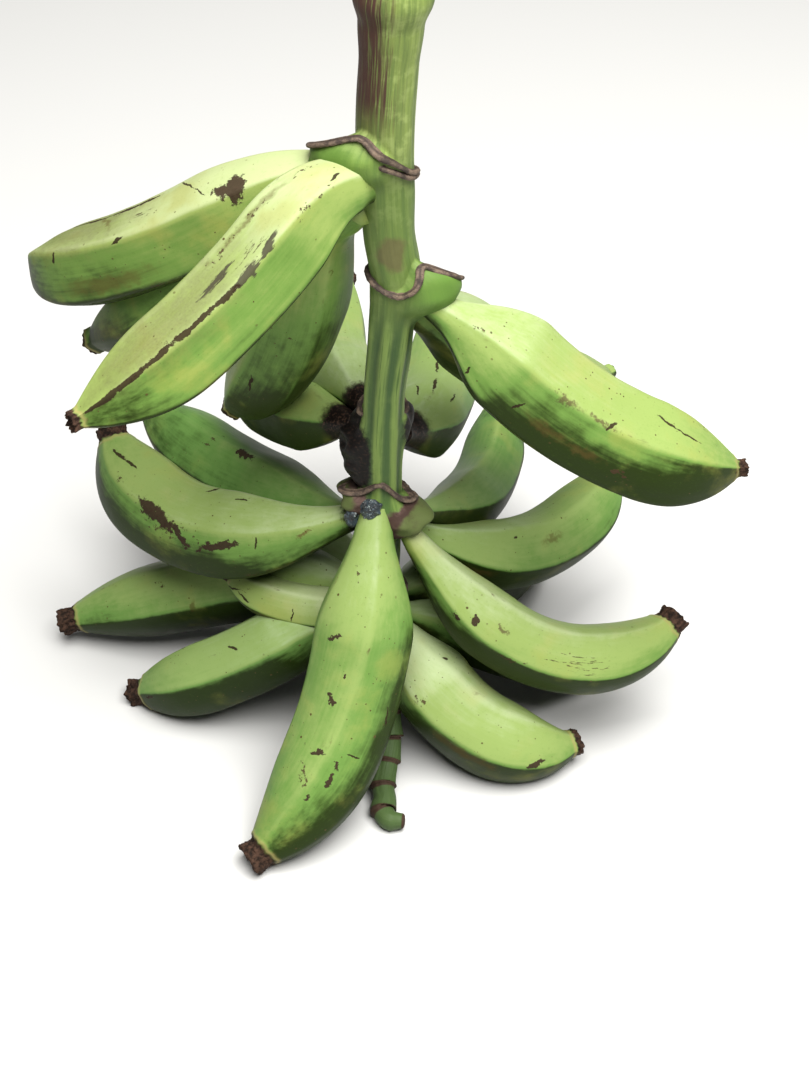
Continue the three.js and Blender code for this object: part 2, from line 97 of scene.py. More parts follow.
# The angles, lengths and girths below were not chosen by hand: a least-squares fit in a separate scratch
# program solved for them, they were rounded, and a few were then changed by hand.
# Most values of the profiles above come from such a fit too, rounded, and the stalk's stations and the
# places of the marks were read with scratch programs and then typed in.
FINGERS = [
    Finger("finger_1_1", (-4, -5, 400), -143, 47, 42, -3, 66, 203, 52, 52,
           PLUMP, tone=0.16, warm=0.5, worn=0.5, cap=4.0, keel=1.3),
    Finger("finger_1_2", (-6, 2, 404), 175.1, 35.8, 10.7, -53.3, 36, 235, 50.1, 42,
           BLUNT, late=1.16, tone=0.30, warm=0.6, worn=0.6, cap=0.0, keel=0.9),
    Finger("finger_1_4", (-8, -8, 390), 139, 80.4, 32.5, 0.1, 53.2, 222.9, 55, 10,
           LEANING, tone=0.48, warm=0.3, worn=0.4, cap=2.5),
    Finger("finger_1_3", (-3, -1, 392), 170.5, 48.1, 11.6, -23.2, 44.5, 224.7, 48, 0,
           tone=-0.05, warm=0.3, cap=2.0),
    Finger("finger_2_1", (24, -3, 327), -16.7, 51.6, 45.5, 30.1, 24.5, 219.1, 60.8, 63,
           HOOKED, tone=-0.03, warm=0.3, worn=0.4, cap=5.5, keel=1.1),
    Finger("finger_2_2", (16, 4, 320), 30.1, 57.7, 42.8, 24.3, 21.5, 215, 46.2, 0,
           PLUMP, tone=0.1, warm=0.1, cap=0.0),
    Finger("finger_3_1", (-14, 8, 232), 125, 31, 18, -18, 4, 193, 44, 20, tone=-0.35, rot=1.0),
    Finger("finger_3_2", (-8, 17, 234), 106, 32, 44, -27, 24, 203, 43, 0, rot=0.7),
    Finger("finger_3_3", (12, 14, 221), 71, 33, 46, 32, 0, 203, 49, 30,
           tone=-0.12, warm=-0.1, worn=0.4, rot=0.9),
    Finger("finger_4_1", (-3, -9, 184), -97.1, 73.3, 51.9, -53.6, 18.4, 235.5, 60.6, 71,
           tone=-0.13, warm=0.1, worn=0.2, cap=11.0, keel=0.45),
    Finger("finger_4_2", (-7, -2, 175), 171.1, 35.8, 71.3, -59.5, 4.3, 221.9, 56.6, 43,
           SLENDER, tone=-0.02, warm=0.1, worn=0.5, rot=0.15, keel=0.7),
    Finger("finger_4_3", (-14, 5, 166), 129.5, 27.5, 38.5, 3.6, -3.6, 233.4, 50, 10,
           SLENDER, tone=-0.42, warm=-0.4),
    Finger("finger_4_4", (14, -6, 166), -29.9, 59.3, 82.8, 76.9, 10.3, 219, 45.3, 24,
           CURLED, tone=0.09, warm=0.2, worn=0.5, cap=10.0, keel=0.65),
    Finger("finger_4_5", (9, 0, 165), 21.1, 47.7, 78.1, 46.6, 1.4, 216.1, 46.5, 31,
           SLENDER, tone=-0.1, warm=-0.1),
    Finger("finger_4_6", (20, 2, 171), 59.7, 44.7, 62.6, 32.8, 9.2, 221.4, 43.4, 20,
           SLENDER, tone=-0.34, warm=-0.3),
    Finger("finger_5_1", (-7, 3, 101), 149, 32, 14, 36, 41, 239, 50.5, 10, warm=-0.1, cap=13.0, keel=0.6),
    Finger("finger_5_2", (-7, -4, 88), -175.5, 40.8, 14.8, -26.7, 52.7, 182.9, 48, 30,
           warm=-0.2, cap=13.0, keel=0.6),
    Finger("finger_5_3", (-6, -14, 107), 168.7, 13.7, 24.2, -31.4, -8.9, 101.5, 29.2, 0,
           tone=0.2, warm=0.3, cap=4.0),
    Finger("finger_5_4", (7, -8, 94), -49, 55.6, 59, 75, 7, 157, 53, 20,
           tone=0.15, warm=0.15, cap=4.0, keel=0.55),
    Finger("finger_5_5", (10, -1, 92), 13, 45.4, 35, 11, 24, 183, 45, 0, tone=-0.1, warm=-0.2),
    Finger("finger_5_6", (-4, 8, 98), 120, 36.1, 11, 19, 44, 217, 47, 40, tone=-0.1, warm=-0.2),
    Finger("finger_5_7", (6, 8, 98), 55, 42.3, 27, -6, 23, 195, 48, 10, tone=-0.1, warm=-0.2),
]

# Marks of each finger by kind. A mark is a stroke on the skin: share of the length and degrees round the
# finger where it starts, the same where it ends, and its width in mm. 90 degrees is the upper side.
MARKS = {
    "finger_1_1": {
        "dull": [(0.38, 90, 1.0, 88, 56)],
        "scorch": [(0.29, 55, 0.37, 51, 4.5), (0.36, 52, 0.48, 51, 7), (0.42, 81, 0.55, 76, 6)],
        "cut": [(0.46, 51, 0.54, 54, 4.4), (0.52, 54, 0.71, 56, 3.6), (0.67, 56, 0.80, 54, 3.2),
                (0.77, 54, 0.89, 52, 4.2), (0.85, 52, 0.98, 50, 6), (0.12, 63, 0.14, 57, 3)],
        "fleck": [(0.10, 108, 0.24, 104, 8), (0.22, 104, 0.33, 105, 10), (0.32, 105, 0.50, 106, 11),
                  (0.14, 48, 0.27, 45, 5), (0.55, 60, 0.95, 54, 6)],
        "stain": [(0.14, 106, 0.48, 108, 9)],
        "scratch": [(0.28, 67, 0.43, 70, 17)],
    },
    "finger_1_2": {
        "dull": [(0.55, 88, 1.0, 88, 60)],
        "scab": [(0.25, 58, 0.27, 30, 13), (0.30, 52, 0.27, 46, 8)],
        "cut": [(0.42, 112, 0.36, 76, 1.4), (0.36, 76, 0.33, 52, 1.2), (0.47, 104, 0.68, 104, 4),
                (0.64, 104, 0.84, 103, 3.4), (0.60, 38, 0.565, 43, 1.9), (0.79, 42, 0.80, 32, 2.4)],
        "fleck": [(0.45, 100, 0.70, 98, 9)],
        "stain": [(0.69, 111, 0.62, 68, 6), (0.84, -8, 0.50, -10, 16)],
        "scratch": [(0.57, 78, 0.49, 72, 13)],
    },
    "finger_1_4": {
        "cut": [(0.66, -7, 0.72, -14, 2.4)],
        "fleck": [(0.47, -27, 0.47, -38, 4)],
        "scorch": [(0.27, -100, 0.33, -98, 3)],
        "stain": [(0.24, -69, 0.26, -70, 3)],
    },
    "finger_2_1": {
        "fleck": [(0.12, 130, 0.17, 124, 8), (0.57, 166, 0.68, 191, 12)],
        "bruise": [(0.36, 135, 0.46, 134, 8), (0.46, 134, 0.57, 135, 7)],
        "stain": [(0.36, 178, 0.48, 177, 12), (0.47, 177, 0.58, 176, 10)],
        "cut": [(0.54, 139, 0.56, 127, 2.8), (0.32, 183, 0.33, 169, 2.2), (0.19, 202, 0.18, 190, 1.5),
                (0.68, 87, 0.75, 100, 2.2), (0.74, 99, 0.83, 108, 2), (0.96, 166, 0.98, 138, 2.4)],
    },
    "finger_3_3": {
        "cut": [(0.56, 86, 0.43, 92, 2.2), (0.35, 95, 0.24, 102, 2.2), (0.29, 70, 0.21, 80, 2),
                (0.27, 136, 0.33, 134, 2)],
    },
    "finger_4_1": {
        "scab": [(0.32, 117, 0.305, 105, 3.6), (0.48, 96, 0.50, 88, 4.8), (0.65, 89, 0.64, 76, 4.2),
                 (0.65, 57, 0.67, 53, 3.4), (0.68, 54, 0.72, 49, 3.6), (0.78, 65, 0.76, 62, 3.8),
                 (0.41, 86, 0.42, 84, 2.2)],
        "cut": [(0.62, 49, 0.62, 31, 1.4), (0.48, 20, 0.53, 13, 1.4)],
        "fleck": [(0.13, 114, 0.17, 100, 8), (0.64, 105, 0.79, 60, 12)],
        "scratch": [(0.39, 59, 0.41, 46, 5)],
    },
    "finger_4_2": {
        "cut": [(0.91, 65, 0.84, 75, 3.6), (0.85, 74, 0.79, 76, 2.6), (0.52, 104, 0.49, 115, 2.6),
                (0.40, 98, 0.35, 100, 1.8), (0.37, 122, 0.29, 124, 1.5), (0.30, 36, 0.31, 16, 1.4)],
        "scab": [(0.69, 47, 0.61, 39, 11), (0.64, 48, 0.56, 31, 10), (0.56, 42, 0.51, 12, 7.5),
                 (0.48, 16, 0.35, 29, 8)],
        "rust": [(0.20, 16, 0.15, 36, 8)],
        "fleck": [(0.78, 42, 0.42, 14, 26), (0.80, 43, 0.78, 52, 6)],
    },
    "finger_4_3": {
        "scab": [(0.53, 83, 0.44, 80, 8)],
        "scratch": [(0.66, 33, 0.62, 110, 12)],
    },
    "finger_4_4": {
        "scab": [(0.26, 172, 0.27, 171, 5.8), (0.30, 157, 0.30, 146, 5.2)],
        "fleck": [(0.38, 170, 0.50, 174, 12)],
        "bruise": [(0.34, 130, 0.42, 138, 5)],
        "scratch": [(0.50, 140, 0.78, 150, 20)],
    },
    "finger_4_5": {
        "stain": [(0.50, 132, 0.62, 130, 9), (0.24, 190, 0.36, 190, 9)],
        "cut": [(0.40, 117, 0.41, 117, 2.2)],
    },
    "finger_5_1": {
        "fleck": [(0.65, 62, 0.61, 51, 6)],
        "stain": [(0.52, 20, 0.54, 6, 5)],
        "cut": [(0.79, 124, 0.66, 126, 2.4)],
    },
    "finger_5_2": {
        "cut": [(0.48, 71, 0.44, 57, 2), (0.72, 107, 0.69, 106, 2.2)],
        "fleck": [(0.56, 68, 0.52, 62, 6)],
        "scab": [(0.88, 23, 0.85, 23, 4.6)],
    },
    "finger_5_3": {
        "cut": [(0.94, 0, 0.84, 33, 1.8), (0.85, 23, 0.74, 14, 1.8), (0.46, 37, 0.46, 0, 1.1)],
        "scratch": [(0.85, 30, 0.70, 60, 8)],
    },
    "finger_5_4": {
        "scab": [(0.77, 166, 0.82, 153, 5)],
        "cut": [(0.225, 82, 0.24, 76, 2.4)],
        "fleck": [(0.28, 148, 0.34, 162, 12)],
        "stain": [(0.40, 175, 0.70, 180, 14)],
    },
}

# ---- stalk
# Stations down the stalk from its cut end to the tip of its tail: x, y, z, radius.
STALK = np.array([
    (10.5, 0, 545, 16.5), (9.5, 0, 520, 17.5), (8.5, 0, 504, 20.3), (7.5, 0, 489, 16.6),
    (6.2, 0, 467, 15.0), (4.2, 0, 430, 15.2), (4.5, 0, 400, 14.6), (6, 0, 368, 13.8),
    (9, 0, 342, 13.8), (7, 0, 312, 12.2), (2.5, 0, 262, 11.3), (1, 0, 212, 11.3),
    (0, 0, 170, 11.0), (0, 0, 120, 10.6), (2, -8, 80, 9.5), (4, -25, 50, 8.0),
    (5, -40, 32, 6.8), (5, -49, 23, 6.8), (3, -60, 16, 6.8), (1, -72, 11, 6.8),
    (2, -82, 8, 6.8), (1, -90, 6.2, 6.6), (5, -96, 6, 6.6), (12, -97, 6, 5.0),
])
UPRIGHT_STATIONS = 15          # the first of them, whose heights fall steadily
# Swellings of the stalk: the cushions that the hands grow from, dried stubs, and the bases of the third
# hand, which are near black, partly rot and partly painted shade. facing: azimuth of the swollen side.
# half: how far above and below its middle it fades.
# spread: 0 swells all round, more keeps it to its side.
Swelling = namedtuple("Swelling", "height facing swell half spread")
CUSHIONS = [Swelling(*row) for row in (
    (416, 180, 23, 18, 8), (418, -118, 8, 11, 10), (334, 4, 20, 16, 11), (337, -42, 9, 12, 12),
    (233, 95, 14, 15, 3.5), (176, -90, 5, 16, 0), (97, -90, 6, 14, 0),
)]
THIRD_CUSHION = CUSHIONS[4:5]
STUBS = [Swelling(174, -14, 13, 10, 5), Swelling(187, 178, 12, 7, 7)]
ROOTS = [Swelling(217, 166, 12, 19, 5), Swelling(236, 40, 5, 9, 5)]
# Raised scars left by the shed bracts: each stands tilt mm higher on its facing side, and has one crest,
# or a dip where the crest is negative. narrow: how steep the crest is. It is open over gap degrees to
# each side of open_at. The last one is a second lip under the first, and no swelling ends at it.
Scar = namedtuple("Scar", "height facing tilt crest_at crest narrow open_at gap")
SCARS = [Scar(*row) for row in (
    (406, -100, 6, -138, 22, 1.8, 0, 0), (337, 180, 7, -30, 21, 5.5, 0, 0),
    (246, 95, 3, -80, -4, 2.5, -85, 95), (187, 180, 3, -90, 16, 2.5, 0, 0),
    (112, 90, 2, -90, -4, 2.5, 0, 0), (403.5, -100, 5.5, -138, 17, 1.8, 135, 125),
)]
SCAR_REACH = 18                # a swelling can end at a scar up to this far under its middle, mm
LEDGE_HEIGHT = 2.4             # mm over which it ends there
OPEN_DEPTH = 8                 # mm that the open stretch of a scar sinks under the skin
SCAR_LIFT = 0.4                # mm that the middle of a scar's rope stands off the skin
SCAR_WANDER = 0.6              # mm that it wanders up and down
LIP_DEPTH = 0.35               # how much its two lips stand out, as a share of its radius
RIB_COUNT = 7                  # shallow ribs along the lower stalk
RIB_RANGE = (120, 330)         # heights between which they show, mm
RIB_FADE = 25                  # mm over which they fade at each end
TAIL_LEDGES = (0.865, 0.892, 0.918, 0.946, 0.975)  # shares of the stalk where flower scars ring the tail
FIRST_JOINT = 0.03             # length of the joint before the first ledge, as a share of the stalk
LEDGE_WIDTH = 0.0028           # width of a ledge's brown ring, as a share of the stalk
TAIL_START = 0.80              # share of the stalk where it takes the tail's colour
TAIL_ROUND_BELOW = 60          # the cushions and stubs fade out under this height, mm
TAIL_FADE = 10                 # over so many mm
STALK_TURN_RADIUS = 14.0       # radius that the rind's pattern is wrapped at, mm

# ---- view
IMAGE_HEIGHT = 1080            # pixels of the whole frame, which is 809 wide
FOCAL_PIXELS = 2000            # focal length in those pixels
SENSOR = 36.0                  # mm along the long side
VIEW_ELEVATION = 42.0          # degrees above the horizon
VIEW_DISTANCE = 1200.0         # mm from the aimed point
AIM = (14.0, 0.0, 150.0)       # aimed point in the working frame, mm


# ---- numbers into surfaces
def ease(value):
    """3x^2 - 2x^3 of the value held between 0 and 1."""
    x = np.clip(value, 0.0, 1.0)
    return x * x * (3 - 2 * x)


def to_frame(points):
    """Working millimetres to metres in the part's frame: the middle goes to the origin."""
    return (np.asarray(points, float) - np.array([MIDDLE[0], MIDDLE[1], 0.0])) * MM


def round_angles(sides):
    """Even angles round a section, as one row."""
    return (np.arange(sides) * 2 * np.pi / sides)[None, :]


def ring_ways(angle, side, up):
    """Directions cos(angle) * side + sin(angle) * up round each ring of a grid."""
    return np.cos(angle)[..., None] * side[:, None] + np.sin(angle)[..., None] * up[:, None]


def heading(u, f):
    """Directions of a finger at the shares u: along it, to its side, and up from it.

    Pitch is -droop + curl * turn + lead * (1 - ease(u / end of the neck bend)), azimuth turns by
    sweep * turn, and turn = (1 - late) * u + late * u^2.
    """
    turn = (1 - f.late) * u + f.late * u * u
    pitch = np.radians(-f.droop + f.curl * turn + f.lead * (1 - ease(u / NECK_BEND_END)))
    azimuth = np.radians(f.azimuth + f.sweep * turn)
    along = np.stack([np.cos(pitch) * np.cos(azimuth), np.cos(pitch) * np.sin(azimuth), np.sin(pitch)], -1)
    side = np.stack([-np.sin(azimuth), np.cos(azimuth), 0 * azimuth], -1)
    return along, side, np.cross(along, side)


def between_points(at, marks, points):
    """Points on straight lines between the given ones, at places along their marks."""
    return np.stack([np.interp(at, marks, points[:, axis]) for axis in range(3)], -1)


def walked_along(points):
    """Distance from the first point to each, along straight lines between them."""
    return np.concatenate([[0], np.cumsum(np.linalg.norm(np.diff(points, axis=0), axis=1))])


def centre_line(u, f, steps=400):
    """Points of the centre line at the shares u: the headings summed in small steps from the root."""
    middles = (np.arange(steps) + 0.5) / steps
    walked = np.cumsum(heading(middles, f)[0] * f.length / steps, axis=0)
    line = np.vstack([np.zeros(3), walked]) + np.array(f.root, float)
    return between_points(u, np.linspace(0, 1, steps + 1), line)


def finger_radius(u, f):
    """Half the girth times a neck that swells by ease^0.85 and a taper by share^2.2 to the tip."""
    s = f.shape
    swell = ease((u - s.rise[0]) / (s.rise[1] - s.rise[0])) ** 0.85
    taper = np.clip((u - s.fall[0]) / (s.fall[1] - s.fall[0]), 0, 1) ** 2.2
    return f.girth / 2 * (s.neck + (1 - s.neck) * swell) * (1 - (1 - s.tip) * taper)


def ripple(rng, around, along, waves, turns, lengths):
    """Sum of a few sine products with seeded phases, scaled to about -1..1.

    Each term is sin(n * around + phase) * sin(2 pi m * along + phase), with n up to turns and m up to
    lengths.
    """
    total = np.zeros(np.broadcast(around, along).shape)
    for _ in range(waves):
        n = rng.integers(1, turns + 1)
        m = rng.uniform(0.4, lengths)
        phases = rng.uniform(0, 2 * np.pi, 2)
        total += np.sin(n * around + phases[0]) * np.sin(2 * np.pi * m * along + phases[1])
    return total / np.sqrt(waves)


def ridge_waves(theta, u, f, rng, look):
    """Ridged section of a finger as a share of its radius, and how near a point is to a crest (0..1).

    The share is 1 - depth * sqrt(1 - sharpness * cos^2(ridges * (theta - roll) / 2)), where the roll
    drifts by the twist along the length and the depth fades in along the neck. Each crest is then pinched
    up by a narrow bell, exp(-(angle / width)^2), and raised or lowered a little by its own seeded weight.
    """
    angle = theta - np.radians(f.roll + RIDGE_TWIST * (u - 0.5))
    wave = np.cos(RIDGES * angle / 2)
    hollow = np.sqrt(1 - look.ridge_sharpness * wave * wave)
    fade = RIDGE_START + (1 - RIDGE_START) * ease(u / RIDGES_FULL)
    depth = look.ridge_depth * f.keel
    spacing = 2 * np.pi / RIDGES
    off_crest = (angle + spacing / 2) % spacing - spacing / 2
    which = np.floor((angle + spacing / 2) / spacing).astype(int) % RIDGES
    weight = rng.uniform(-CREST_UNEVEN, CREST_UNEVEN, RIDGES)[which]
    foot, pinch, line = (np.exp(-(off_crest / np.radians(width)) ** 2) for width in CREST_BELLS)
    share = 1 - depth * hollow * fade
    share += depth * fade * (weight * foot + CREST_PINCH * pinch)
    return share, line * ease(u / 0.12) * (1 + weight)


def closing(ring, middle, along, shrink, stand):
    """Rings that close a ring: shrunk towards its middle to each share, and moved along by stand in mm."""
    return middle + shrink[:, None, None] * (ring - middle) + stand * along


def finger_grid(f, look, rings, sides):
    """Skin of one finger as a grid of points, with what its material reads at each point.

    A point stands off the centre line by radius * ridge share * (cos(theta) side + sin(theta) up), less
    near the root, which is tucked into the crown. The last millimetres are the withered flower end:
    crumpled by sines of the angle, with a jagged border, and closed over by rings that shrink to the
    middle.
    """
    rng = np.random.default_rng(sum(map(ord, f.name)) * FINGER_SEED)
    t = np.linspace(0, 1, rings)
    share = (0.55 * t + 0.45 * (1 - np.cos(np.pi * t)) / 2)[:, None]  # rings crowd towards both ends
    theta = round_angles(sides) - np.pi / 2
    ridge, crest = ridge_waves(theta, share, f, rng, look)
    radius = finger_radius(share, f)
    swell = 1 + look.waviness * ripple(rng, theta, share, 5, 3, 3.0)
    swell += 0.35 * look.waviness * ripple(rng, theta, share, 6, 9, 9.0)
    jag = ripple(rng, theta, 0 * theta, 5, 11, 1.0)
    past = share * f.length - (f.length - f.cap * look.cap_scale) + CAP_WANDER * jag
    withered = 1.0 if f.cap else 0.0
    cap = withered * ease(past / CAP_EDGE)
    rim = withered * np.exp(-((past - RIM_PLACE) / RIM_WIDTH) ** 2)
    folds = ripple(rng, theta, share * 4, 8, 19, 3.0) + 0.8 * ripple(rng, theta, share * 30, 8, 9, 9.0)
    flare = 0.014 * f.cap * ease(past / max(f.cap, 1.0) - 0.25)
    swell += cap * (0.05 * folds - 0.05 + flare) + 0.03 * rim
    centre = centre_line(share[:, 0], f)
    along, side, up = heading(share[:, 0], f)
    tuck = TUCKED_RADIUS + (1 - TUCKED_RADIUS) * ease(share * f.length / TUCKED_LENGTH)
    points = centre[:, None] + (radius * ridge * swell * tuck)[..., None] * ring_ways(theta, side, up)
    points += (cap * (0.5 * jag + 0.5 * folds))[..., None] * along[:, None]
    # closing rings of the flower end: share of the end radius, and how far they stand past it in mm
    shrink = np.array([0.97, 0.88, 0.74, 0.56, 0.38, 0.18])
    stand = np.array([0.6, 0.8, 0.1, -0.7, -0.9, -0.4])[:, None]
    rough = 0.7 * ripple(rng, theta, shrink[:, None], 8, 7, 5.0) * ease(shrink[:, None] / 0.5)
    end = closing(points[-1], centre[-1], along[-1], shrink, (stand + rough)[..., None])
    points = np.concatenate([points, end])
    points[..., 2] = np.maximum(points[..., 2], 0.0)
    extra = len(shrink)
    along_mm = np.concatenate([share[:, 0], np.ones(extra)]) * f.length
    radii = np.concatenate([radius[:, 0], radius[-1, 0] * shrink])
    rest = pattern_place(radii, theta, along_mm) + rng.uniform(-PATTERN_SHIFT, PATTERN_SHIFT, 3)
    values = {key: padded(field, (rings, sides), 0, extra, 0.0, end_value) for key, field, end_value in (
        ("crest", crest, 0.0), ("cap", cap, withered), ("rim", rim * (1 - cap), 0.0),
        ("neck", 1 - ease((share - 0.02) / 0.16), 0.0), ("along", share, 1.0))}
    poles = (centre[0], centre[-1] - 0.3 * along[-1])
    skin_map = (theta[0] + np.pi / 2) * f.girth / 2, along_mm
    return points, poles, values, rest, skin_map


def pattern_place(radii, angle, along_mm):
    """Where the material's patterns are read, in metres: the piece as if it were a straight round bar."""
    angle = np.broadcast_to(angle, (len(along_mm), angle.shape[1]))
    radii, along_mm = radii[:, None], np.broadcast_to(along_mm[:, None], angle.shape)
    return np.stack([radii * np.cos(angle), radii * np.sin(angle), along_mm], -1) * MM


def padded(field, size, before, after, first, last):
    """A field spread over a grid, with rings of one value added before its first and after its last."""
    sides = size[1]
    return np.concatenate([np.full((before, sides), first), np.broadcast_to(field, size),
                           np.full((after, sides), last)])


def outward(points, faces):
    """The faces, turned round if the volume they enclose, summed corner by corner, is negative."""
    a, b, c = (points[faces[:, i]] for i in range(3))
    volume = np.einsum("ij,ij->i", a, np.cross(b, c)).sum()
    return faces if volume > 0 else faces[:, ::-1]


def triangles(rings, sides, poles):
    """Corner numbers of the triangles between the rings of a grid whose sides close on themselves.

    With poles there is also a fan of triangles from each pole to its end ring. Without them the last
    ring joins the first.
    """
    i, j = (index.ravel() for index in np.indices((rings - 1 if poles else rings, sides)))
    k, m = (i + 1) % rings, (j + 1) % sides
    a, b, c, d = i * sides + j, i * sides + m, k * sides + m, k * sides + j
    faces = [np.stack([a, b, c], -1), np.stack([a, c, d], -1)]
    if poles:
        j = np.arange(sides)
        m = (j + 1) % sides
        pole, last = 0 * j + rings * sides, (rings - 1) * sides
        faces += [np.stack([pole, m, j], -1), np.stack([pole + 1, last + j, last + m], -1)]
    return np.concatenate(faces)


def point_values(mesh, key, kind, values):
    """Writes one value or vector for each point of a mesh."""
    slot = "vector" if kind == "FLOAT_VECTOR" else "value"
    mesh.attributes.new(key, kind, "POINT").data.foreach_set(slot, values.astype(np.float32).ravel())


def surface(name, points, poles=(), values=None, rest=None, skin_map=None):
    """A closed, smooth mesh object from a grid of points in working mm, with its point attributes.

    poles are the points that close the first and the last ring; without them the rings close on
    themselves. Only a grid with poles can have rest places and a skin_map, which gives mm round and mm
    along for each column and ring: the UV map's two axes.
    """
    rings, sides = points.shape[:2]
    placed = to_frame(np.concatenate([points.reshape(-1, 3), np.array(poles, float).reshape(-1, 3)]))
    faces = outward(placed - placed.mean(0), triangles(rings, sides, poles))
    mesh = bpy.data.meshes.new(name)
    mesh.from_pydata(placed.tolist(), [], faces.tolist(), shade_flat=False)
    for key, grid in (values or {}).items():
        ends = [grid[0].mean(), grid[-1].mean()] if poles else []
        point_values(mesh, key, "FLOAT", np.concatenate([grid.ravel(), ends]))
    if rest is not None:
        ends = [rest[0].mean(0), rest[-1].mean(0)]
        point_values(mesh, "rest", "FLOAT_VECTOR", np.concatenate([rest.reshape(-1, 3), ends]))
    if skin_map is not None:
        write_skin_map(mesh, faces, skin_map, rings, sides)
    piece = bpy.data.objects.new(name, mesh)
    bpy.context.scene.collection.objects.link(piece)
    return piece


def write_skin_map(mesh, faces, skin_map, rings, sides):
    """UV map in metres: x runs round the skin from its underside, y along it.

    A corner on the first column of a face that spans the seam is put one full turn further on.
    """
    round_mm, along_mm = skin_map
    turn = round_mm[-1] + round_mm[1] - round_mm[0]
    column = np.minimum(faces, rings * sides - 1) % sides
    ring = np.minimum(faces // sides, rings - 1)
    x = round_mm[column]
    spans = (column.max(1) - column.min(1)) > sides / 2
    x = np.where(spans[:, None] & (column < sides / 2), x + turn, x)
    both = np.stack([x, along_mm[ring]], -1) * MM
    mesh.uv_layers.new(name="skin").uv.foreach_set("vector", both.astype(np.float32).ravel())


# ---- stalk surfaces
def stalk_line(count):
    """Points and shares down the stalk: a centripetal Catmull-Rom curve through the stations.

    Each stretch is a cubic whose end slopes come from its neighbours, weighted by the square root of
    the distances between the points; the curve is then cut at even steps of its length, with extra cuts
    beside each ledge of the tail.
    """
    at = STALK[:, :3]
    p = np.vstack([2 * at[0] - at[1], at, 2 * at[-1] - at[-2]])
    gap = np.sqrt(np.linalg.norm(np.diff(p, axis=0), axis=1))[:, None]
    before, own, after = gap[:-2], gap[1:-1], gap[2:]
    p0, p1, p2, p3 = p[:-3], p[1:-2], p[2:-1], p[3:]
    slope1 = ((p1 - p0) / before - (p2 - p0) / (before + own) + (p2 - p1) / own) * own
    slope2 = ((p2 - p1) / own - (p3 - p1) / (own + after) + (p3 - p2) / after) * own
    s = np.linspace(0, 1, 40, endpoint=False)[None, :, None]
    a, b = p1[:, None], p2[:, None]
    m, n = slope1[:, None], slope2[:, None]
    curve = a + m * s + (3 * (b - a) - 2 * m - n) * s ** 2 + (2 * (a - b) + m + n) * s ** 3
    curve = np.vstack([curve.reshape(-1, 3), at[-1]])
    extra = [ledge + step for ledge in TAIL_LEDGES for step in (-0.0012, 0.0, 0.0012, 0.003)]
    shares = np.unique(np.round(np.concatenate([np.linspace(0, 1, count), extra]), 6))
    walked = walked_along(curve)
    return between_points(shares * walked[-1], walked, curve), shares


def stalk_radius(share):
    """Radius between stations, eased by the share of the way along their chords."""
    radii = STALK[:, 3]
    chords = walked_along(STALK[:, :3])
    marks = chords / chords[-1]
    i = np.clip(np.searchsorted(marks, share), 1, len(marks) - 1)
    mix = ease((share - marks[i - 1]) / (marks[i] - marks[i - 1]))
    return radii[i - 1] + (radii[i] - radii[i - 1]) * mix


def scar_height(scar, angle):
    """height + tilt * cos(angle - facing) + crest * exp(narrow * (cos(angle - crest_at) - 1))."""
    crest = scar.crest * np.exp(scar.narrow * (np.cos(angle - np.radians(scar.crest_at)) - 1))
    return scar.height + scar.tilt * np.cos(angle - np.radians(scar.facing)) + crest


def swelling(angle, height, swellings):
    """Sum over the swellings of swell * exp(-|d|^3) * ((1 + cos(angle - facing)) / 2)^spread.

    d is the height over the swelling's middle, divided by half. Each swelling stops in a ledge at the
    lowest bract scar that is above its middle, or not far under it.
    """
    total = 0.0
    for s in swellings:
        above = (scar for scar in SCARS[:-1] if scar.height > s.height - SCAR_REACH)
        scar = min(above, key=lambda scar: scar.height)
        under = ease((scar_height(scar, angle) + LEDGE_HEIGHT - height) / LEDGE_HEIGHT)
        rise = np.exp(-np.abs((height - s.height) / s.half) ** 3)
        facing = (1 + np.cos(angle - np.radians(s.facing))) / 2
        total = total + s.swell * rise * under * facing ** s.spread
    return total


def tail_flare(share, flare):
    """Each joint of the tail widens by the square of the way to its ledge, then steps in."""
    out = np.zeros_like(share)
    for start, ledge in zip((TAIL_LEDGES[0] - FIRST_JOINT,) + TAIL_LEDGES[:-1], TAIL_LEDGES):
        inside = (share > start) & (share <= ledge)
        out = np.where(inside, flare * ((share - start) / (ledge - start)) ** 2, out)
    return out


def carried_frames(points):
    """Side and up vectors carried down a path with least turning, starting from +X."""
    along = np.gradient(points, axis=0)
    along /= np.linalg.norm(along, axis=1)[:, None]
    sides = np.empty_like(points)
    side = np.array([1.0, 0.0, 0.0])
    for i, way in enumerate(along):
        side = side - way * (side @ way)
        side /= np.linalg.norm(side)
        sides[i] = side
    return along, sides, np.cross(along, sides)


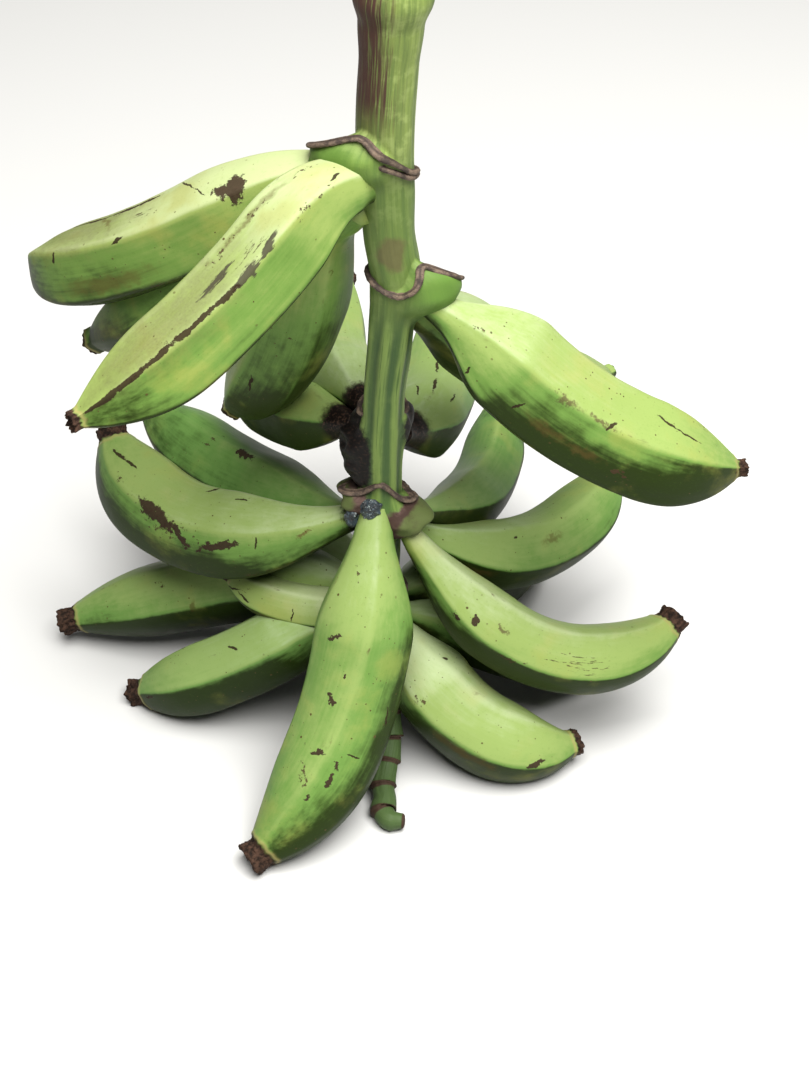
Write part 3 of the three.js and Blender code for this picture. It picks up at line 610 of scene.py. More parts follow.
def stalk_grid(look, rings, sides):
    """Skin of the stalk as a grid, with what its material reads.

    The radius is the stations' radius times 1 + depth * cos(ribs * angle + 0.25 sin(height / 30)) where
    ribs show, plus the swellings, the flares of the tail's joints and fine fibres, which are seeded sine
    products. Rings that shrink to the middle close both ends.
    """
    rng = np.random.default_rng(STALK_SEED)
    points, share = stalk_line(rings)
    size = (len(share), sides)
    along, side, up = carried_frames(points)
    turn = round_angles(sides)
    out = ring_ways(turn, side, up)
    angle = np.arctan2(out[..., 1], out[..., 0])
    height = np.broadcast_to(points[:, 2][:, None], angle.shape)
    above_tail = ease((height - TAIL_ROUND_BELOW + TAIL_FADE) / TAIL_FADE)
    cushions = swelling(angle, height, CUSHIONS) * above_tail
    stubs = swelling(angle, height, STUBS) * above_tail
    roots = swelling(angle, height, ROOTS)
    ribs = ease((height - RIB_RANGE[0]) / RIB_FADE) * ease((RIB_RANGE[1] - height) / RIB_FADE)
    wave = np.cos(RIB_COUNT * angle + 0.25 * np.sin(height / 30))
    share = share[:, None]
    base = stalk_radius(share) * (1 + look.rib_depth * ribs * wave)
    fine = 0.25 * ripple(rng, angle, share, 9, 23, 6.0) + 0.3 * ripple(rng, angle, share, 6, 4, 14.0)
    lumps = ripple(rng, angle, share, 9, 9, 60.0)
    flare = tail_flare(share, look.tail_flare / MM)
    radius = base + cushions + (stubs + roots) * (1 + 0.22 * lumps) + flare + fine
    radius += 0.06 * cushions * lumps
    grid = points[:, None] + radius[..., None] * out
    # closing rings: share of the end radius, and how far they stand past either end in mm
    shrink = np.array([0.97, 0.88, 0.66, 0.40, 0.18])
    top_stand = np.array([0.5, 0.1, -0.6, -0.9, -0.7])
    tip_stand = np.array([0.9, 1.6, 2.1, 2.3, 2.4])
    extra = len(shrink)
    top = closing(grid[0], points[0], along[0], shrink[::-1], -top_stand[::-1, None, None])
    tip = closing(grid[-1], points[-1], along[-1], shrink, tip_stand[:, None, None])
    grid = np.concatenate([top, grid, tip])
    grid[..., 2] = np.maximum(grid[..., 2], 0.0)
    ledges = sum(np.exp(-((share - ledge - 0.001) / LEDGE_WIDTH) ** 2) for ledge in TAIL_LEDGES)
    dark_base_rot_and_shade = roots + swelling(angle, height, THIRD_CUSHION)
    values = {key: padded(field, size, extra, extra, first, last) for key, field, first, last in (
        ("cut", 0.0, 1.0, 0.0), ("cushion", np.clip(cushions / 14, 0, 1), 0.0, 0.0),
        ("stub", np.clip(stubs / 6, 0, 1), 0.0, 0.0), ("root", np.clip(dark_base_rot_and_shade / 5, 0, 1), 0.0, 0.0),
        ("rib", (0.5 + 0.5 * wave) * ribs, 0.0, 0.0), ("ledge", ledges, 0.0, 0.8),
        ("tail", ease((share - TAIL_START) / 0.05), 0.0, 1.0))}
    length = np.pad(walked_along(points), extra, mode="edge")
    scale = np.concatenate([shrink[::-1], np.ones(size[0]), shrink])
    rest = pattern_place(scale * STALK_TURN_RADIUS, turn, length)
    poles = (points[0] + 0.5 * along[0], points[-1] + 2.4 * along[-1])
    return grid, poles, values, rest


def scar_grid(scar, index, look, steps, sides):
    """A shed bract's scar: a rope of two lips round the stalk, following its swollen skin.

    The section's radius is thickness * (1 + depth * cos(2 turn + 0.5 sin(angle))) with seeded crumples,
    where turn goes round the section and angle round the stalk. The rope stands off the skin as it is
    just under it, so that it lies over the edge of a swelling. Where the scar is open, it sinks under the
    skin.
    """
    rng = np.random.default_rng(SCAR_SEED + index)
    angle = round_angles(steps)[0]
    stations = STALK[:UPRIGHT_STATIONS][::-1]
    x = np.interp(scar.height, stations[:, 2], stations[:, 0])
    core = np.interp(scar.height, stations[:, 2], stations[:, 3])
    z = scar_height(scar, angle) + SCAR_WANDER * ripple(rng, angle, 0 * angle, 5, 5, 1.0)
    front = ease((0.35 - np.sin(angle)) / 0.5)
    reach = core + swelling(angle, z - 1.4, CUSHIONS) + front * swelling(angle, z - 1, STUBS) + SCAR_LIFT
    if scar.gap:
        opening = np.cos(angle - np.radians(scar.open_at)) - np.cos(np.radians(scar.gap))
        reach = reach - OPEN_DEPTH * ease(4 * opening + 0.5)
    path = np.stack([x + reach * np.cos(angle), reach * np.sin(angle), z], -1)
    along = np.roll(path, -1, 0) - np.roll(path, 1, 0)
    along /= np.linalg.norm(along, axis=1)[:, None]
    side = np.cross([0.0, 0.0, 1.0], along)
    side /= np.linalg.norm(side, axis=1)[:, None]
    turn = round_angles(sides)
    a = angle[:, None]
    lips = np.cos(2 * turn + 0.5 * np.sin(a))
    section = look.scar_thickness / MM * (1 + 0.10 * ripple(rng, a, 0 * a, 6, 7, 1.0))
    section = section * (1 + LIP_DEPTH * lips) * (1 + 0.06 * ripple(rng, a * 3, turn / 6.3, 8, 12, 4.0))
    grid = path[:, None] + section[..., None] * ring_ways(turn, side, np.cross(along, side))
    return grid, {"groove": np.exp(-((lips + 1) / 0.5) ** 2)}


def crust_grid(at, size, seed, rings, sides):
    """A dried lump of sap: an ellipsoid whose radius is crumpled by seeded sine products."""
    rng = np.random.default_rng(seed)
    lat = (np.arange(1, rings + 1) / (rings + 1) * np.pi)[:, None]
    lon = round_angles(sides)
    crumple = 0.14 * ripple(rng, lon, lat / 3, 8, 5, 4.0) + 0.05 * ripple(rng, lon, lat / 3, 8, 11, 9.0)
    crumple = 1 + np.sin(lat) * crumple
    unit = np.stack([np.sin(lat) * np.cos(lon), np.sin(lat) * np.sin(lon), np.cos(lat) + 0 * lon], -1)
    points = np.array(at, float) + unit * crumple[..., None] * np.array(size, float)
    poles = (np.array(at) + [0, 0, size[2]], np.array(at) - [0, 0, size[2]])
    return points, poles, {"lump": np.clip(crumple - 0.6, 0, 1)}


# ---- materials
def linear(hex_colour):
    """sRGB hex value such as 0x8FB04A to linear RGBA."""
    channels = np.array([(hex_colour >> shift) & 255 for shift in (16, 8, 0)]) / 255
    values = np.where(channels <= 0.04045, channels / 12.92, ((channels + 0.055) / 1.055) ** 2.4)
    return (*values.tolist(), 1.0)


def opaque(colour):
    """A picked linear colour with full alpha."""
    return (*colour[:3], 1.0)


def node(tree, kind, inputs=None, output=0, **settings):
    """Adds a node with its settings, sets or links its inputs, and gives back one of its outputs.

    The functions below find the tree from one of their inputs: a socket's id_data is its node tree.
    """
    made = tree.nodes.new(kind)
    for key, value in settings.items():
        setattr(made, key, value)
    for key, value in (inputs or {}).items():
        socket = made.inputs[key]
        if isinstance(value, bpy.types.NodeSocket):
            tree.links.new(value, socket)
        else:
            socket.default_value = value
    return made.outputs[output]


def blank_material(name):
    """A node material without nodes, and the tree to fill."""
    material = bpy.data.materials.new(name)
    material.use_nodes = True
    material.node_tree.nodes.clear()
    return material, material.node_tree


def attributes(tree, names):
    """The named point attributes: rest is the place that patterns are read at, the others are values."""
    return [node(tree, "ShaderNodeAttribute", output=1 if name == "rest" else 2, attribute_name=name)
            for name in names.split()]


def maths(operation, *values):
    """Result of a math node; one of the values at least is a node's output."""
    tree = next(value.id_data for value in values if isinstance(value, bpy.types.NodeSocket))
    return node(tree, "ShaderNodeMath", dict(enumerate(values)), operation=operation)


def product(value, *others):
    """Product of the values."""
    for other in others:
        value = maths("MULTIPLY", value, other)
    return value


def sums(*terms, plus=0.0):
    """Weighted sum of (value, weight) terms, and a plain number."""
    first, *others = [maths("MULTIPLY", *term) for term in terms]
    for other in others:
        first = maths("ADD", first, other)
    return maths("ADD", first, plus) if plus else first


def span(value, low, high):
    """Smooth step of a value from 0 at low to 1 at high."""
    return node(value.id_data, "ShaderNodeMapRange", {"Value": value, "From Min": low, "From Max": high},
                interpolation_type="SMOOTHSTEP")


def layered(colour, *layers):
    """A colour under layers, each a (cover, colour) pair: as far as cover says, its colour hides the rest.

    A whole number stands for an sRGB hex colour, anything else is linear RGBA or a node's output.
    """
    for cover, over in layers:
        under, over = (linear(each) if isinstance(each, int) else each for each in (colour, over))
        colour = node(cover.id_data, "ShaderNodeMix", {0: cover, 6: under, 7: over}, output=2,
                      data_type="RGBA")
    return colour


def noise(place, size_mm, detail=2.0, roughness=0.5, output=0):
    """Noise whose features are size_mm wide, over places in metres: a value from 0 to 1, or a vector."""
    return node(place.id_data, "ShaderNodeTexNoise", {
        "Vector": place, "Scale": 1 / (size_mm * MM), "Detail": detail, "Roughness": roughness}, output)


def long_noise(place, along, size_mm, detail=3.0, roughness=0.5):
    """Noise over places whose height is multiplied by along: a small factor draws it out lengthways."""
    drawn_out = node(place.id_data, "ShaderNodeMapping", {"Vector": place, "Scale": (1.0, 1.0, along)})
    return noise(drawn_out, size_mm, detail, roughness)


def warped(place, pattern, size_mm, reach_mm):
    """A place moved by up to half of reach_mm each way, by noise over the pattern."""
    tree = place.id_data
    push = noise(pattern, size_mm, 3.0, 0.6, output=1)
    centred = node(tree, "ShaderNodeVectorMath", {0: push, 1: (0.5, 0.5, 0.5)}, operation="SUBTRACT")
    scaled = node(tree, "ShaderNodeVectorMath", {0: centred, "Scale": reach_mm * MM}, operation="SCALE")
    return node(tree, "ShaderNodeVectorMath", {0: place, 1: scaled})


def off_middle(place, middle, half_size, turn=0.0):
    """Distance from the middle of an ellipse that is turned about Z, where its edge is 1 away."""
    placed = node(place.id_data, "ShaderNodeMapping", {
        "Vector": place, "Location": middle, "Rotation": (0.0, 0.0, turn), "Scale": half_size},
        vector_type="TEXTURE")
    return node(place.id_data, "ShaderNodeVectorMath", {0: placed}, output=1, operation="LENGTH")


def stroke_cover(skin_map, f, marks):
    """1 in the middle of a mark's stroke, 0 at its edge and below 0 outside, for the nearest mark."""
    cover = None
    for start, start_turn, end, end_turn, width in marks:
        ends = np.array([[np.radians(around + 90) * f.girth / 2, share * f.length]
                         for share, around in ((start, start_turn), (end, end_turn))])
        middle = ends.mean(0) * MM
        way = ends[1] - ends[0]
        half_long = (np.hypot(*way) / 2 + width * 0.45) * MM
        half_size = (half_long, width / 2 * MM, 1.0)
        away = off_middle(skin_map, (*middle, 0.0), half_size, np.arctan2(way[1], way[0]))
        one = maths("SUBTRACT", 1.0, away)
        cover = one if cover is None else maths("MAXIMUM", cover, one)
    return cover


def finish_material(material, colour, rough, raised, bump, ior, specular=0.5):
    """Gives a material its surface. bump is the strength and the depth in metres of what is raised."""
    tree = material.node_tree
    normal = node(tree, "ShaderNodeBump", {"Height": raised, "Strength": bump[0], "Distance": bump[1]})
    shader = node(tree, "ShaderNodeBsdfPrincipled", {
        "Base Color": colour, "Roughness": rough, "Normal": normal, "IOR": ior,
        "Specular IOR Level": specular})
    return finish_tree(material, shader)


def finish_tree(material, shader):
    """Links the shader to the material's output."""
    made = material.node_tree.nodes.new("ShaderNodeOutputMaterial")
    material.node_tree.links.new(shader, made.inputs["Surface"])
    return material


def corky_flecks(rest):
    """Spots in some cells of a cell pattern, in two sizes, that come and go over the skin."""
    flecks = None
    for spacing, size, share in ((3.6, 0.17, 0.50), (8.0, 0.125, 0.50)):
        cells = node(rest.id_data, "ShaderNodeTexVoronoi", {"Vector": rest, "Scale": 1 / (spacing * MM)})
        lot = node(rest.id_data, "ShaderNodeSeparateColor", {0: cells.node.outputs["Color"]})
        keep = maths("GREATER_THAN", lot, 1 - share)
        spot = maths("SUBTRACT", product(lot.node.outputs[1], size), cells)
        spot = product(span(spot, -0.02, 0.03), keep)
        flecks = spot if flecks is None else maths("MAXIMUM", flecks, spot)
    strength = span(noise(rest, 26), 0.35, 0.62)
    return product(flecks, sums((strength, 0.75), (flecks, 0.25)))


def skin_material(f, look):
    """Unripe plantain skin as it grew: waxy, ridged and chafed, with corky flecks and a withered tip.

    The eye gets deep green below and pale waxy bloom above, which is mostly painted shade below and painted
    light and sheen above, laid by which way the skin faces; paler crests rubbed brown in places, fine dark
    flecks, and a broad soft gloss.
    """
    material, tree = blank_material("plantain_skin_" + f.name)
    rest, sun, crest, cap, rim, neck, along = attributes(tree, "rest sun crest cap rim neck along")
    skin_map = node(tree, "ShaderNodeUVMap", uv_map="skin")
    wide = noise(rest, 38)
    middle = noise(rest, 9, 4.0, 0.6)
    fine = noise(rest, 1.6, 3.0, 0.6)
    fibres = long_noise(rest, 0.06, 2.2)
    # how pale the skin is: painted light and sheen on faces that turn up and painted shade on faces that
    # turn down, hand, crests and mottling, with less bloom towards the tip
    pale = sums((sun, 1.30), (wide, 0.40), (middle, 0.34), (fibres, 0.28), (crest, 0.12), (along, -0.50),
                plus=f.tone - 0.83)
    yellowing = span(sums((wide, 1.0), (middle, 0.35)), 0.70, 0.95)
    # chafed crests: brown where a long patchy noise meets a crest
    patches = span(long_noise(rest, 0.35, 14, 4.0, 0.65), 0.62 - 0.12 * f.worn, 0.72)
    broken = span(long_noise(rest, 0.4, 2.0, 3.0, 0.7), 0.46, 0.60)
    chafe = product(crest, patches, broken)
    flecks = corky_flecks(rest)
    deep, green, light, bloom_and_sheen = look.palette(f.warm)
    colour = layered(
        deep, (span(pale, -0.15, 0.22), green), (span(pale, 0.16, 0.60), light),
        (span(pale, 0.62, 1.15), bloom_and_sheen), (product(yellowing, 0.30 + 0.25 * f.warm), 0x8C8C42),
        (product(span(fine, 0.58, 0.72), 0.16), 0x44601F), (chafe, 0x4A3823), (flecks, 0x4A3F22))
    raised = sums((fine, 0.10), (fibres, 0.12), (middle, 0.10), (flecks, 0.25), (chafe, 0.35))
    rough = sums((middle, 0.20), (fine, 0.10), (chafe, 0.25), (cap, 0.35))
    # marks that this finger carries
    ragged = noise(rest, 3.2, 5.0, 0.68)
    streaky = long_noise(rest, 0.16, 1.5, 3.0, 0.7)
    frayed = warped(skin_map, rest, 5.0, 9.0)
    wavy = warped(skin_map, rest, 6.0, 4.5)
    corky = opaque(look.cork)
    kinds = {
        # colour and lighter grain, map, how ragged the edge is, cover where it starts and is full,
        # strength, relief
        "dull": (0x69723C, corky, frayed, middle, 0.8, -0.10, 0.80, 0.62, 0.0),
        "stain": (0x4C3E1E, None, frayed, middle, 1.6, 0.05, 0.85, 0.62, 0.0),
        "bruise": (0x523F2C, corky, frayed, ragged, 2.2, 0.25, 0.85, 0.75, 0.2),
        "rust": (0x6B4A26, corky, frayed, ragged, 2.4, 0.35, 0.80, 0.7, 0.1),
        "fleck": (0x43321D, corky, frayed, ragged, 5.0, 0.90, 1.15, 0.90, 0.25),
        "scratch": (0x423A22, corky, wavy, streaky, 4.5, 0.95, 1.20, 0.85, 0.2),
        "scorch": (0x3A352C, None, wavy, streaky, 1.9, 0.12, 0.42, 0.92, 0.35),
        "cut": (0x2B1F15, None, wavy, ragged, 1.3, 0.02, 0.26, 0.95, -0.4),
        "scab": (0x261A14, corky, frayed, ragged, 1.7, 0.16, 0.34, 0.97, 0.9),
    }
    own = MARKS.get(f.name, {})
    for kind, (tint, grain, place, edge, wild, low, high, strength, relief) in kinds.items():
        if kind not in own:
            continue
        cover = stroke_cover(place, f, own[kind])
        cover = maths("MULTIPLY_ADD", maths("SUBTRACT", edge, 0.5), wild, cover)
        mask = product(span(cover, low, high), strength)
        shade = layered(tint, (fine, grain)) if grain else tint
        colour = layered(colour, (mask, shade))
        raised = maths("MULTIPLY_ADD", mask, relief, raised)
        rough = maths("MULTIPLY_ADD", mask, 0.3, rough)
    # the dark neck, partly rot and partly painted shade where it goes into the crown, then the withered
    # flower end with a dry pale rim
    if f.rot:
        rotten_and_shaded = span(sums((neck, 1.0), (ragged, 0.6)), 1.15 - 0.7 * f.rot, 1.35 - 0.5 * f.rot)
        mould_and_shade = layered(0x120D0B, (span(fine, 0.5, 0.68), 0x3E2F27))
        colour = layered(colour, (rotten_and_shaded, mould_and_shade))
    husk = layered(0x1C1511, (span(ragged, 0.35, 0.65), 0x47342A))
    colour = layered(colour, (product(rim, 0.75), 0x8D8452), (cap, husk))
    raised = maths("MULTIPLY_ADD", cap, product(ragged, 2.0), raised)
    rough = maths("ADD", rough, look.skin_roughness)
    return finish_material(material, colour, rough, raised, (0.55, 0.0009), ior=1.40, specular=0.13)


def stalk_material(look):
    """Cut stalk of the bunch: a green fibrous rind, stained brown where bracts were, and a raw cut end."""
    material, tree = blank_material("plantain_stalk_rind")
    rest, cut, cushion, stub_here, root, rib, ledge_here, tail = attributes(
        tree, "rest cut cushion stub root rib ledge tail")
    place = node(tree, "ShaderNodeTexCoord", output=3)
    across, _, height = node(tree, "ShaderNodeSeparateXYZ", {0: place}).node.outputs
    middle = noise(rest, 10, 4.0, 0.6)
    fine = noise(rest, 1.3, 3.0, 0.6)
    ragged = noise(rest, 3.0, 5.0, 0.7)
    streaks = long_noise(rest, 0.05, 3.0, 4.0, 0.65)
    thin_streaks = long_noise(rest, 0.03, 1.2, 3.0, 0.7)
    lit = span(sums((middle, 1.0), (streaks, 0.6)), 0.78, 1.0)
    # painted shade: the rind turns a darker green under the first hands
    shade_under_first_hands = product(span(height, 0.430, 0.395), 0.55)
    # the lower stalk, darker than above as painted shade under the hands: bluish dark green in the valleys,
    # yellow-green on the ribs
    ribbed = sums((rib, 0.8), (streaks, 0.5), (middle, 0.3))
    shaded_lower_stalk = layered(0x2E4629, (span(ribbed, 0.40, 1.20), 0x6B8042),
                     (span(thin_streaks, 0.52, 0.70), 0x3A5328))
    # purple-brown streaks down the left of the upper stalk
    left = span(across, 0.014, -0.004)
    purple = span(sums((thin_streaks, 0.9), (streaks, 0.5), (left, 0.26)), 0.66, 0.92)
    purple = product(purple, span(height, 0.425, 0.455), span(across, 0.020, 0.006))
    # a soft brown stain on the front, between the first two hands
    away = off_middle(place, (0.0103, -0.051, 0.363), (0.009, 0.03, 0.014))
    stained = product(span(sums((away, -1.0), (middle, 1.2)), -0.45, 0.0), 0.75)
    # knobs, stubs with their dry flesh, near-black bases that are partly rot and partly painted shade, the
    # tail with its ledges, and the cut end
    stub = span(sums((stub_here, 1.0), (ragged, 0.5)), 0.35, 0.60)
    bark = layered(0x3F2F29, (span(middle, 0.42, 0.6), 0x64504A))
    flesh = span(sums((stub_here, 1.0), (middle, 0.9)), 1.15, 1.50)
    rotten_and_shaded = span(sums((root, 1.0), (ragged, 0.5)), 0.35, 0.70)
    mould_and_shade = layered(0x0D0A09, (span(fine, 0.5, 0.7), 0x2A1F1A))
    ledge = span(sums((ledge_here, 1.0), (ragged, 0.5)), 0.50, 0.85)
    pulp = layered(0xA3956C, (span(noise(rest, 1.1), 0.45, 0.62), 0x66502E),
                   (span(middle, 0.45, 0.7), 0x8E7346))
    colour = layered(
        opaque(look.rind_dark), (span(streaks, 0.30, 0.72), opaque(look.rind)),
        (lit, opaque(look.rind_light)), (shade_under_first_hands, 0x4C6630),
        (product(span(height, 0.335, 0.300), 0.8), shaded_lower_stalk), (purple, 0x46302A), (stained, 0x5C5238),
        (product(cushion, 0.85), 0x557531), (stub, bark), (flesh, 0x525D34), (rotten_and_shaded, mould_and_shade),
        (product(tail, 0.65), 0x42532F), (ledge, 0x3B2C22), (span(cut, 0.4, 0.9), pulp))
    raised = sums((streaks, 0.35), (thin_streaks, 0.35), (fine, 0.18), (stub, 0.4), (ledge, 0.5))
    rough = sums((middle, 0.25), (purple, 0.1), (stub, 0.2), (ledge, 0.2), plus=0.38)
    return finish_material(material, colour, rough, raised, (0.6, 0.0011), ior=1.42, specular=0.2)


def scar_material(look):
    """Dried bract scar: corky, grey-brown with a purple cast, split along its length."""
    material, tree = blank_material("dried_bract_scar")
    place = node(tree, "ShaderNodeTexCoord", output=3)
    groove, = attributes(tree, "groove")
    patches = noise(place, 6, 4.0, 0.65)
    splits = long_noise(place, 3.0, 1.6, 4.0, 0.7)
    colour = layered(
        opaque(look.scar_dark), (span(patches, 0.38, 0.62), opaque(look.scar_light)),
        (span(splits, 0.54, 0.66), 0x33261F), (product(groove, 0.75), 0x2A1E19))
    raised = sums((splits, -0.6), (patches, 0.5))
    return finish_material(material, colour, 0.72, raised, (0.7, 0.0012), ior=1.45)


def crust_material():
    """Dried sap crust: blue-black and slightly glossy, with pale specks, more of them on its lumps, that
    are painted highlights.
    """
    material, tree = blank_material("dried_sap_crust")
    place = node(tree, "ShaderNodeTexCoord", output=3)
    lump, = attributes(tree, "lump")
    patches = noise(place, 3, 5.0, 0.7)
    # painted highlights: pale specks, more of them on the raised lumps
    painted_glints = span(sums((noise(place, 1.4, 3.0, 0.7), 1.0), (lump, 0.3)), 0.72, 0.82)
    colour = layered(0x12161A, (span(patches, 0.40, 0.62), 0x35424A), (painted_glints, 0x9DA9A6))
    return finish_material(material, colour, 0.42, patches, (0.8, 0.0012), ior=1.5)


def floor_material(look):
    """Matt paper sweep: plain and pale."""
    material, tree = blank_material("matt_paper_sweep")
    shader = node(tree, "ShaderNodeBsdfDiffuse", {"Color": opaque(look.floor_colour), "Roughness": 0.0})
    return finish_tree(material, shader)


# ---- properties
def colour_property(name, description, hex_colour):
    """A colour picker whose default is an sRGB hex value."""
    return bpy.props.FloatVectorProperty(
        name=name, description=description, subtype="COLOR", size=3, min=0.0, max=1.0,
        default=linear(hex_colour)[:3])


class PlantainSkinLook(bpy.types.PropertyGroup):
    """Sizes and colours of the fingers."""
    ridge_depth: bpy.props.FloatProperty(
        name="Ridge depth", description="How far the flats sink, as a share of the radius",
        default=0.125, min=0.0, max=0.25, subtype="FACTOR")
    ridge_sharpness: bpy.props.FloatProperty(
        name="Ridge sharpness", description="1 is a knife edge, 0 a round finger",
        default=0.985, min=0.0, max=1.0, subtype="FACTOR")
    waviness: bpy.props.FloatProperty(
        name="Waviness", description="Uneven growth, as a share of the radius",
        default=0.012, min=0.0, max=0.05, subtype="FACTOR")
    cap_scale: bpy.props.FloatProperty(
        name="Flower ends",
        description="Length of the withered flower ends, as a share of their listed length",
        default=1.0, min=0.2, max=1.5, subtype="FACTOR")
    skin_roughness: bpy.props.FloatProperty(
        name="Roughness", description="Roughness of clean skin before its grain is added",
        default=0.30, min=0.0, max=1.0, subtype="FACTOR")
    # The deep green and the bloom are laid by which way the skin faces: besides the skin's colour they
    # carry painted shade below and painted light and sheen above.
    deep: colour_property("Deep green", "Skin on the shaded side", 0x22300B)
    green: colour_property("Green", "Skin on the flanks", 0x5F813E)
    light: colour_property("Light green", "Skin on the sunny side", 0x7E9354)
    bloom_and_sheen: colour_property("Bloom", "Palest waxy skin", 0x97A67E)
    cork: colour_property("Cork", "Lighter grain in corky scabs", 0x3E2F25)

    def palette(self, warm):
        """Deep, green, light and bloom-and-sheen colours, made yellower (warm > 0) or bluer (warm < 0)."""
        shift = np.array([1 + 0.14 * warm, 1 + 0.02 * warm, 1 - 0.16 * warm])
        picked = (self.deep, self.green, self.light, self.bloom_and_sheen)
        return [opaque((np.array(colour) * shift).tolist()) for colour in picked]


class PlantainStalkLook(bpy.types.PropertyGroup):
    """Sizes and colours of the stalk."""
    rib_depth: bpy.props.FloatProperty(
        name="Rib depth", description="Height of the ribs, as a share of the radius",
        default=0.06, min=0.0, max=0.2, subtype="FACTOR")
    tail_flare: bpy.props.FloatProperty(
        name="Tail flare", description="How far a flower scar stands out from the tail",
        default=0.0017, min=0.0, max=0.005, unit="LENGTH")
    scar_thickness: bpy.props.FloatProperty(
        name="Scar thickness", description="Radius of a bract scar",
        default=0.0018, min=0.0005, max=0.006, unit="LENGTH")
    rind_dark: colour_property("Dark rind", "Darker fibres of the rind", 0x5C6E3B)
    rind: colour_property("Rind", "Green rind", 0x7E8F4A)
    rind_light: colour_property("Light rind", "Palest rind", 0x8A9A5A)
    scar_dark: colour_property("Dark scar", "Darker cork of a bract scar", 0x352A24)
    scar_light: colour_property("Light scar", "Lighter cork of a bract scar", 0x6B5A4C)


class PlantainStageLook(bpy.types.PropertyGroup):
    """Floor and light."""
    floor_colour: colour_property("Floor", "Colour of the floor", 0xC6C6C6)
    overhead: bpy.props.FloatProperty(
        name="Overhead light", description="Power of the large soft light above",
        default=150.0, min=0.0, unit="POWER")
    sky: bpy.props.FloatProperty(
        name="Sky", description="Strength of the light from all round", default=0.10, min=0.0)


# ---- operators
FRONT_GRID = (196, 92)         # rings and sides of a finger that shows from the front
BACK_GRID = (150, 72)          # of a finger behind the others
BACK_FINGERS = ("finger_1_3", "finger_3_1", "finger_4_6", "finger_5_5", "finger_5_6", "finger_5_7")
HAND_SLOTS = {"1": "skin_top_hand", "2": "skin_top_hand", "3": "skin_back_hand",
              "4": "skin_lower_hands", "5": "skin_lower_hands"}
# Dried sap beside the necks of the fourth hand: place and half sizes in mm, and seed.
SAP_CRUSTS = [((-5.5, -16, 188), (6.2, 4.0, 7.6), 31), ((-16, -10, 177), (5.0, 4.5, 7.0), 32)]
FLOOR_HALF = 6.0               # half the side of the floor, m
FLOOR_DROP = 0.0004            # how far the floor is under the bunch, m


def finish_piece(piece, material, slot, *replaced):
    """Gives a piece its material, attaches it under the root body and hides the nodes it replaces. slot is
    not used.
    """
    piece.data.materials.append(material)
    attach(piece, "root")
    if replaced:
        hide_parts(*replaced)


def add_painted_shading(mesh):
    """Point attribute ease((normal's z + 0.55) / 1.5), for painted light and shade: 1 where the skin faces
    up, 0 where it faces down.
    """
    normals = np.empty(len(mesh.vertices) * 3, np.float32)
    mesh.vertex_normals.foreach_get("vector", normals)
    point_values(mesh, "sun", "FLOAT", ease((normals[2::3] + 0.55) / 1.5))


class MESH_OT_plantain_fingers(bpy.types.Operator):
    """Make every finger of the bunch with its own marked skin"""
    bl_idname = "mesh.plantain_fingers"
    bl_label = "Fingers"
    bl_options = {"REGISTER", "UNDO"}

    def execute(self, context):
        look = context.scene.plantain_skin
        for f in FINGERS:
            size = BACK_GRID if f.name in BACK_FINGERS else FRONT_GRID
            piece = surface(f.name + "_skin", *finger_grid(f, look, *size))
            add_painted_shading(piece.data)
            finish_piece(piece, skin_material(f, look), HAND_SLOTS[f.name.split("_")[1]], f.name)
        return {"FINISHED"}


class MESH_OT_plantain_stalk(bpy.types.Operator):
    """Make the ribbed stalk with its cushions, stubs and jointed tail"""
    bl_idname = "mesh.plantain_stalk"
    bl_label = "Stalk"
    bl_options = {"REGISTER", "UNDO"}

    def execute(self, context):
        look = context.scene.plantain_stalk
        piece = surface("stalk_rind", *stalk_grid(look, rings=560, sides=80))
        finish_piece(piece, stalk_material(look), "stalk_bark", "stalk")
        return {"FINISHED"}


class MESH_OT_plantain_scars(bpy.types.Operator):
    """Make the raised scars that the shed bracts left round the stalk"""
    bl_idname = "mesh.plantain_scars"
    bl_label = "Bract scars"
    bl_options = {"REGISTER", "UNDO"}

    def execute(self, context):
        look = context.scene.plantain_stalk
        material = scar_material(look)
        for index, scar in enumerate(SCARS):
            points, values = scar_grid(scar, index, look, steps=180, sides=24)
            piece = surface("bract_scar_%d" % (index + 1), points, values=values)
            finish_piece(piece, material, "stalk_bark")
        return {"FINISHED"}


class MESH_OT_plantain_sap(bpy.types.Operator):
    """Make the lumps of dried sap on the necks of the fourth hand"""
    bl_idname = "mesh.plantain_sap"
    bl_label = "Dried sap"
    bl_options = {"REGISTER", "UNDO"}

    def execute(self, context):
        material = crust_material()
        for index, crust in enumerate(SAP_CRUSTS):
            piece = surface("sap_crust_%d" % (index + 1), *crust_grid(*crust, rings=60, sides=72))
            finish_piece(piece, material, "stalk_bark")
        return {"FINISHED"}


class SCENE_OT_plantain_stage(bpy.types.Operator):
    """Make the pale floor, the soft light and the camera"""
    bl_idname = "scene.plantain_stage"
    bl_label = "Stage"
    bl_options = {"REGISTER", "UNDO"}

    def execute(self, context):
        look = context.scene.plantain_stage
        make_floor(look)
        make_lights(look)
        make_camera()
        return {"FINISHED"}


def linked(name, data, location=(0.0, 0.0, 0.0), way=None):
    """An object in the scene, looking the given way if there is one."""
    made = bpy.data.objects.new(name, data)
    made.location = location
    if way is not None:
        made.rotation_mode = "QUATERNION"
        made.rotation_quaternion = way.to_track_quat("-Z", "Y")
    bpy.context.scene.collection.objects.link(made)
    return made


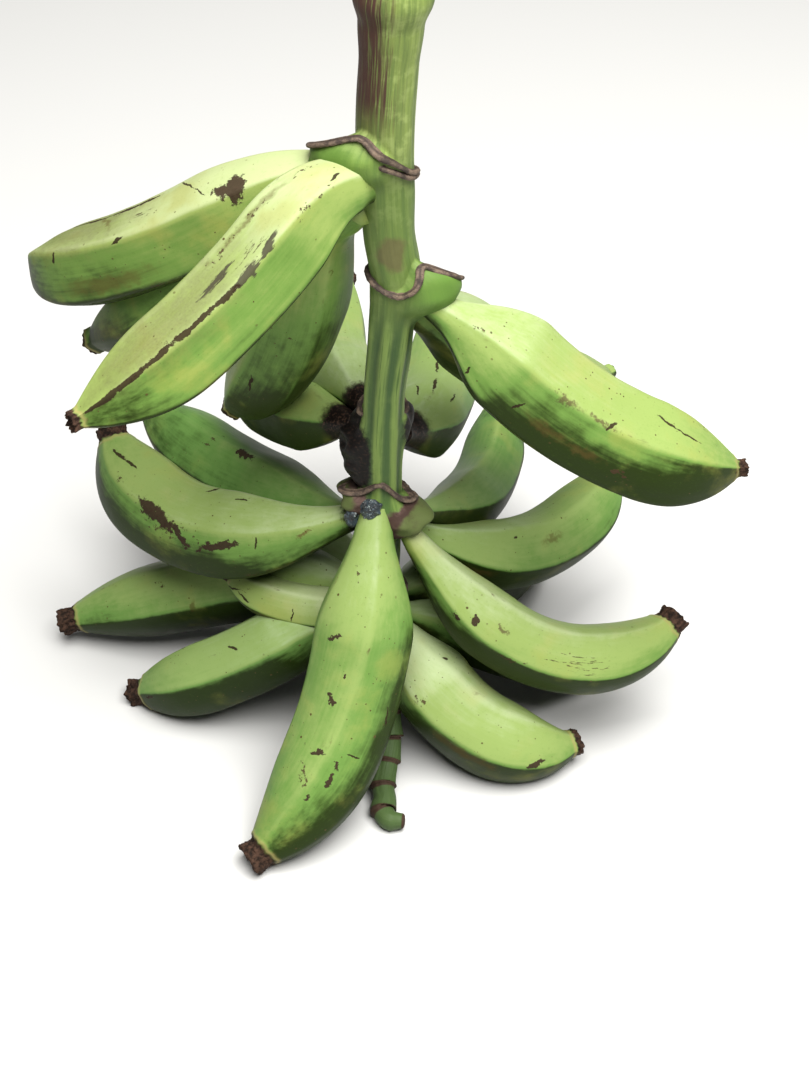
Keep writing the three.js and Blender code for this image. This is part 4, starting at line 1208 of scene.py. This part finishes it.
def make_floor(look):
    """A flat square sheet just under the bunch."""
    mesh = bpy.data.meshes.new("floor")
    half, z = FLOOR_HALF, -FLOOR_DROP
    mesh.from_pydata([(-half, -half, z), (half, -half, z), (half, half, z), (-half, half, z)], [],
                     [(0, 1, 2, 3)])
    mesh.materials.append(floor_material(look))
    floor = linked("floor", mesh)


def make_lights(look):
    """One large soft light above, a little to the front and right, and an even sky."""
    lamp = bpy.data.lights.new("overhead", "AREA")
    lamp.shape = "DISK"
    lamp.size = 2.0
    lamp.energy = look.overhead
    lamp.color = (1.0, 0.99, 0.95)
    place = Vector((0.30, -0.60, 2.2))
    linked("overhead", lamp, place, Vector((0.0, -0.02, 0.2)) - place)
    world = bpy.data.worlds.new("even_sky")
    world.use_nodes = True
    background = world.node_tree.nodes["Background"]
    background.inputs["Color"].default_value = (1.0, 1.0, 1.0, 1.0)
    background.inputs["Strength"].default_value = look.sky
    bpy.context.scene.world = world
    bpy.context.scene.view_settings.view_transform = "Standard"


def make_camera():
    """Camera at the view's elevation, with a lens of focal pixels / image height * sensor."""
    data = bpy.data.cameras.new("camera")
    data.sensor_width = SENSOR
    data.lens = FOCAL_PIXELS / IMAGE_HEIGHT * SENSOR
    data.clip_start, data.clip_end = 0.05, 50.0
    tilt = np.radians(VIEW_ELEVATION)
    back = np.array([0.0, -np.cos(tilt), np.sin(tilt)])
    place = to_frame(np.array(AIM) + VIEW_DISTANCE * back).tolist()
    bpy.context.scene.camera = linked("camera", data, place, Vector((-back).tolist()))


class VIEW3D_PT_plantain(bpy.types.Panel):
    """Buttons and settings of the bunch"""
    bl_label = "Plantain Bunch"
    bl_space_type = "VIEW_3D"
    bl_region_type = "UI"
    bl_category = "Plantain"

    def draw(self, context):
        for name, (group, buttons) in GROUPS.items():
            box = self.layout.box()
            for key in group.__annotations__:
                box.prop(getattr(context.scene, name), key)
            for button in buttons:
                box.operator(button)


GROUPS = {                     # settings on the scene, and the buttons that go with them
    "plantain_skin": (PlantainSkinLook, ("mesh.plantain_fingers",)),
    "plantain_stalk": (PlantainStalkLook,
                       ("mesh.plantain_stalk", "mesh.plantain_scars", "mesh.plantain_sap")),
    "plantain_stage": (PlantainStageLook, ("scene.plantain_stage",)),
}
CLASSES = (PlantainSkinLook, PlantainStalkLook, PlantainStageLook, MESH_OT_plantain_fingers,
           MESH_OT_plantain_stalk, MESH_OT_plantain_scars, MESH_OT_plantain_sap, SCENE_OT_plantain_stage,
           VIEW3D_PT_plantain)


def register():
    for cls in CLASSES:
        bpy.utils.register_class(cls)
    for name, (group, _) in GROUPS.items():
        setattr(bpy.types.Scene, name, bpy.props.PointerProperty(type=group))


def unregister():
    for name in GROUPS:
        delattr(bpy.types.Scene, name)
    for cls in reversed(CLASSES):
        bpy.utils.unregister_class(cls)


def main():
    register()
    bpy.ops.scene.plantain_stage()
    bpy.ops.mesh.plantain_stalk()
    bpy.ops.mesh.plantain_scars()
    bpy.ops.mesh.plantain_sap()
    bpy.ops.mesh.plantain_fingers()


if __name__ == "__main__":
    main()
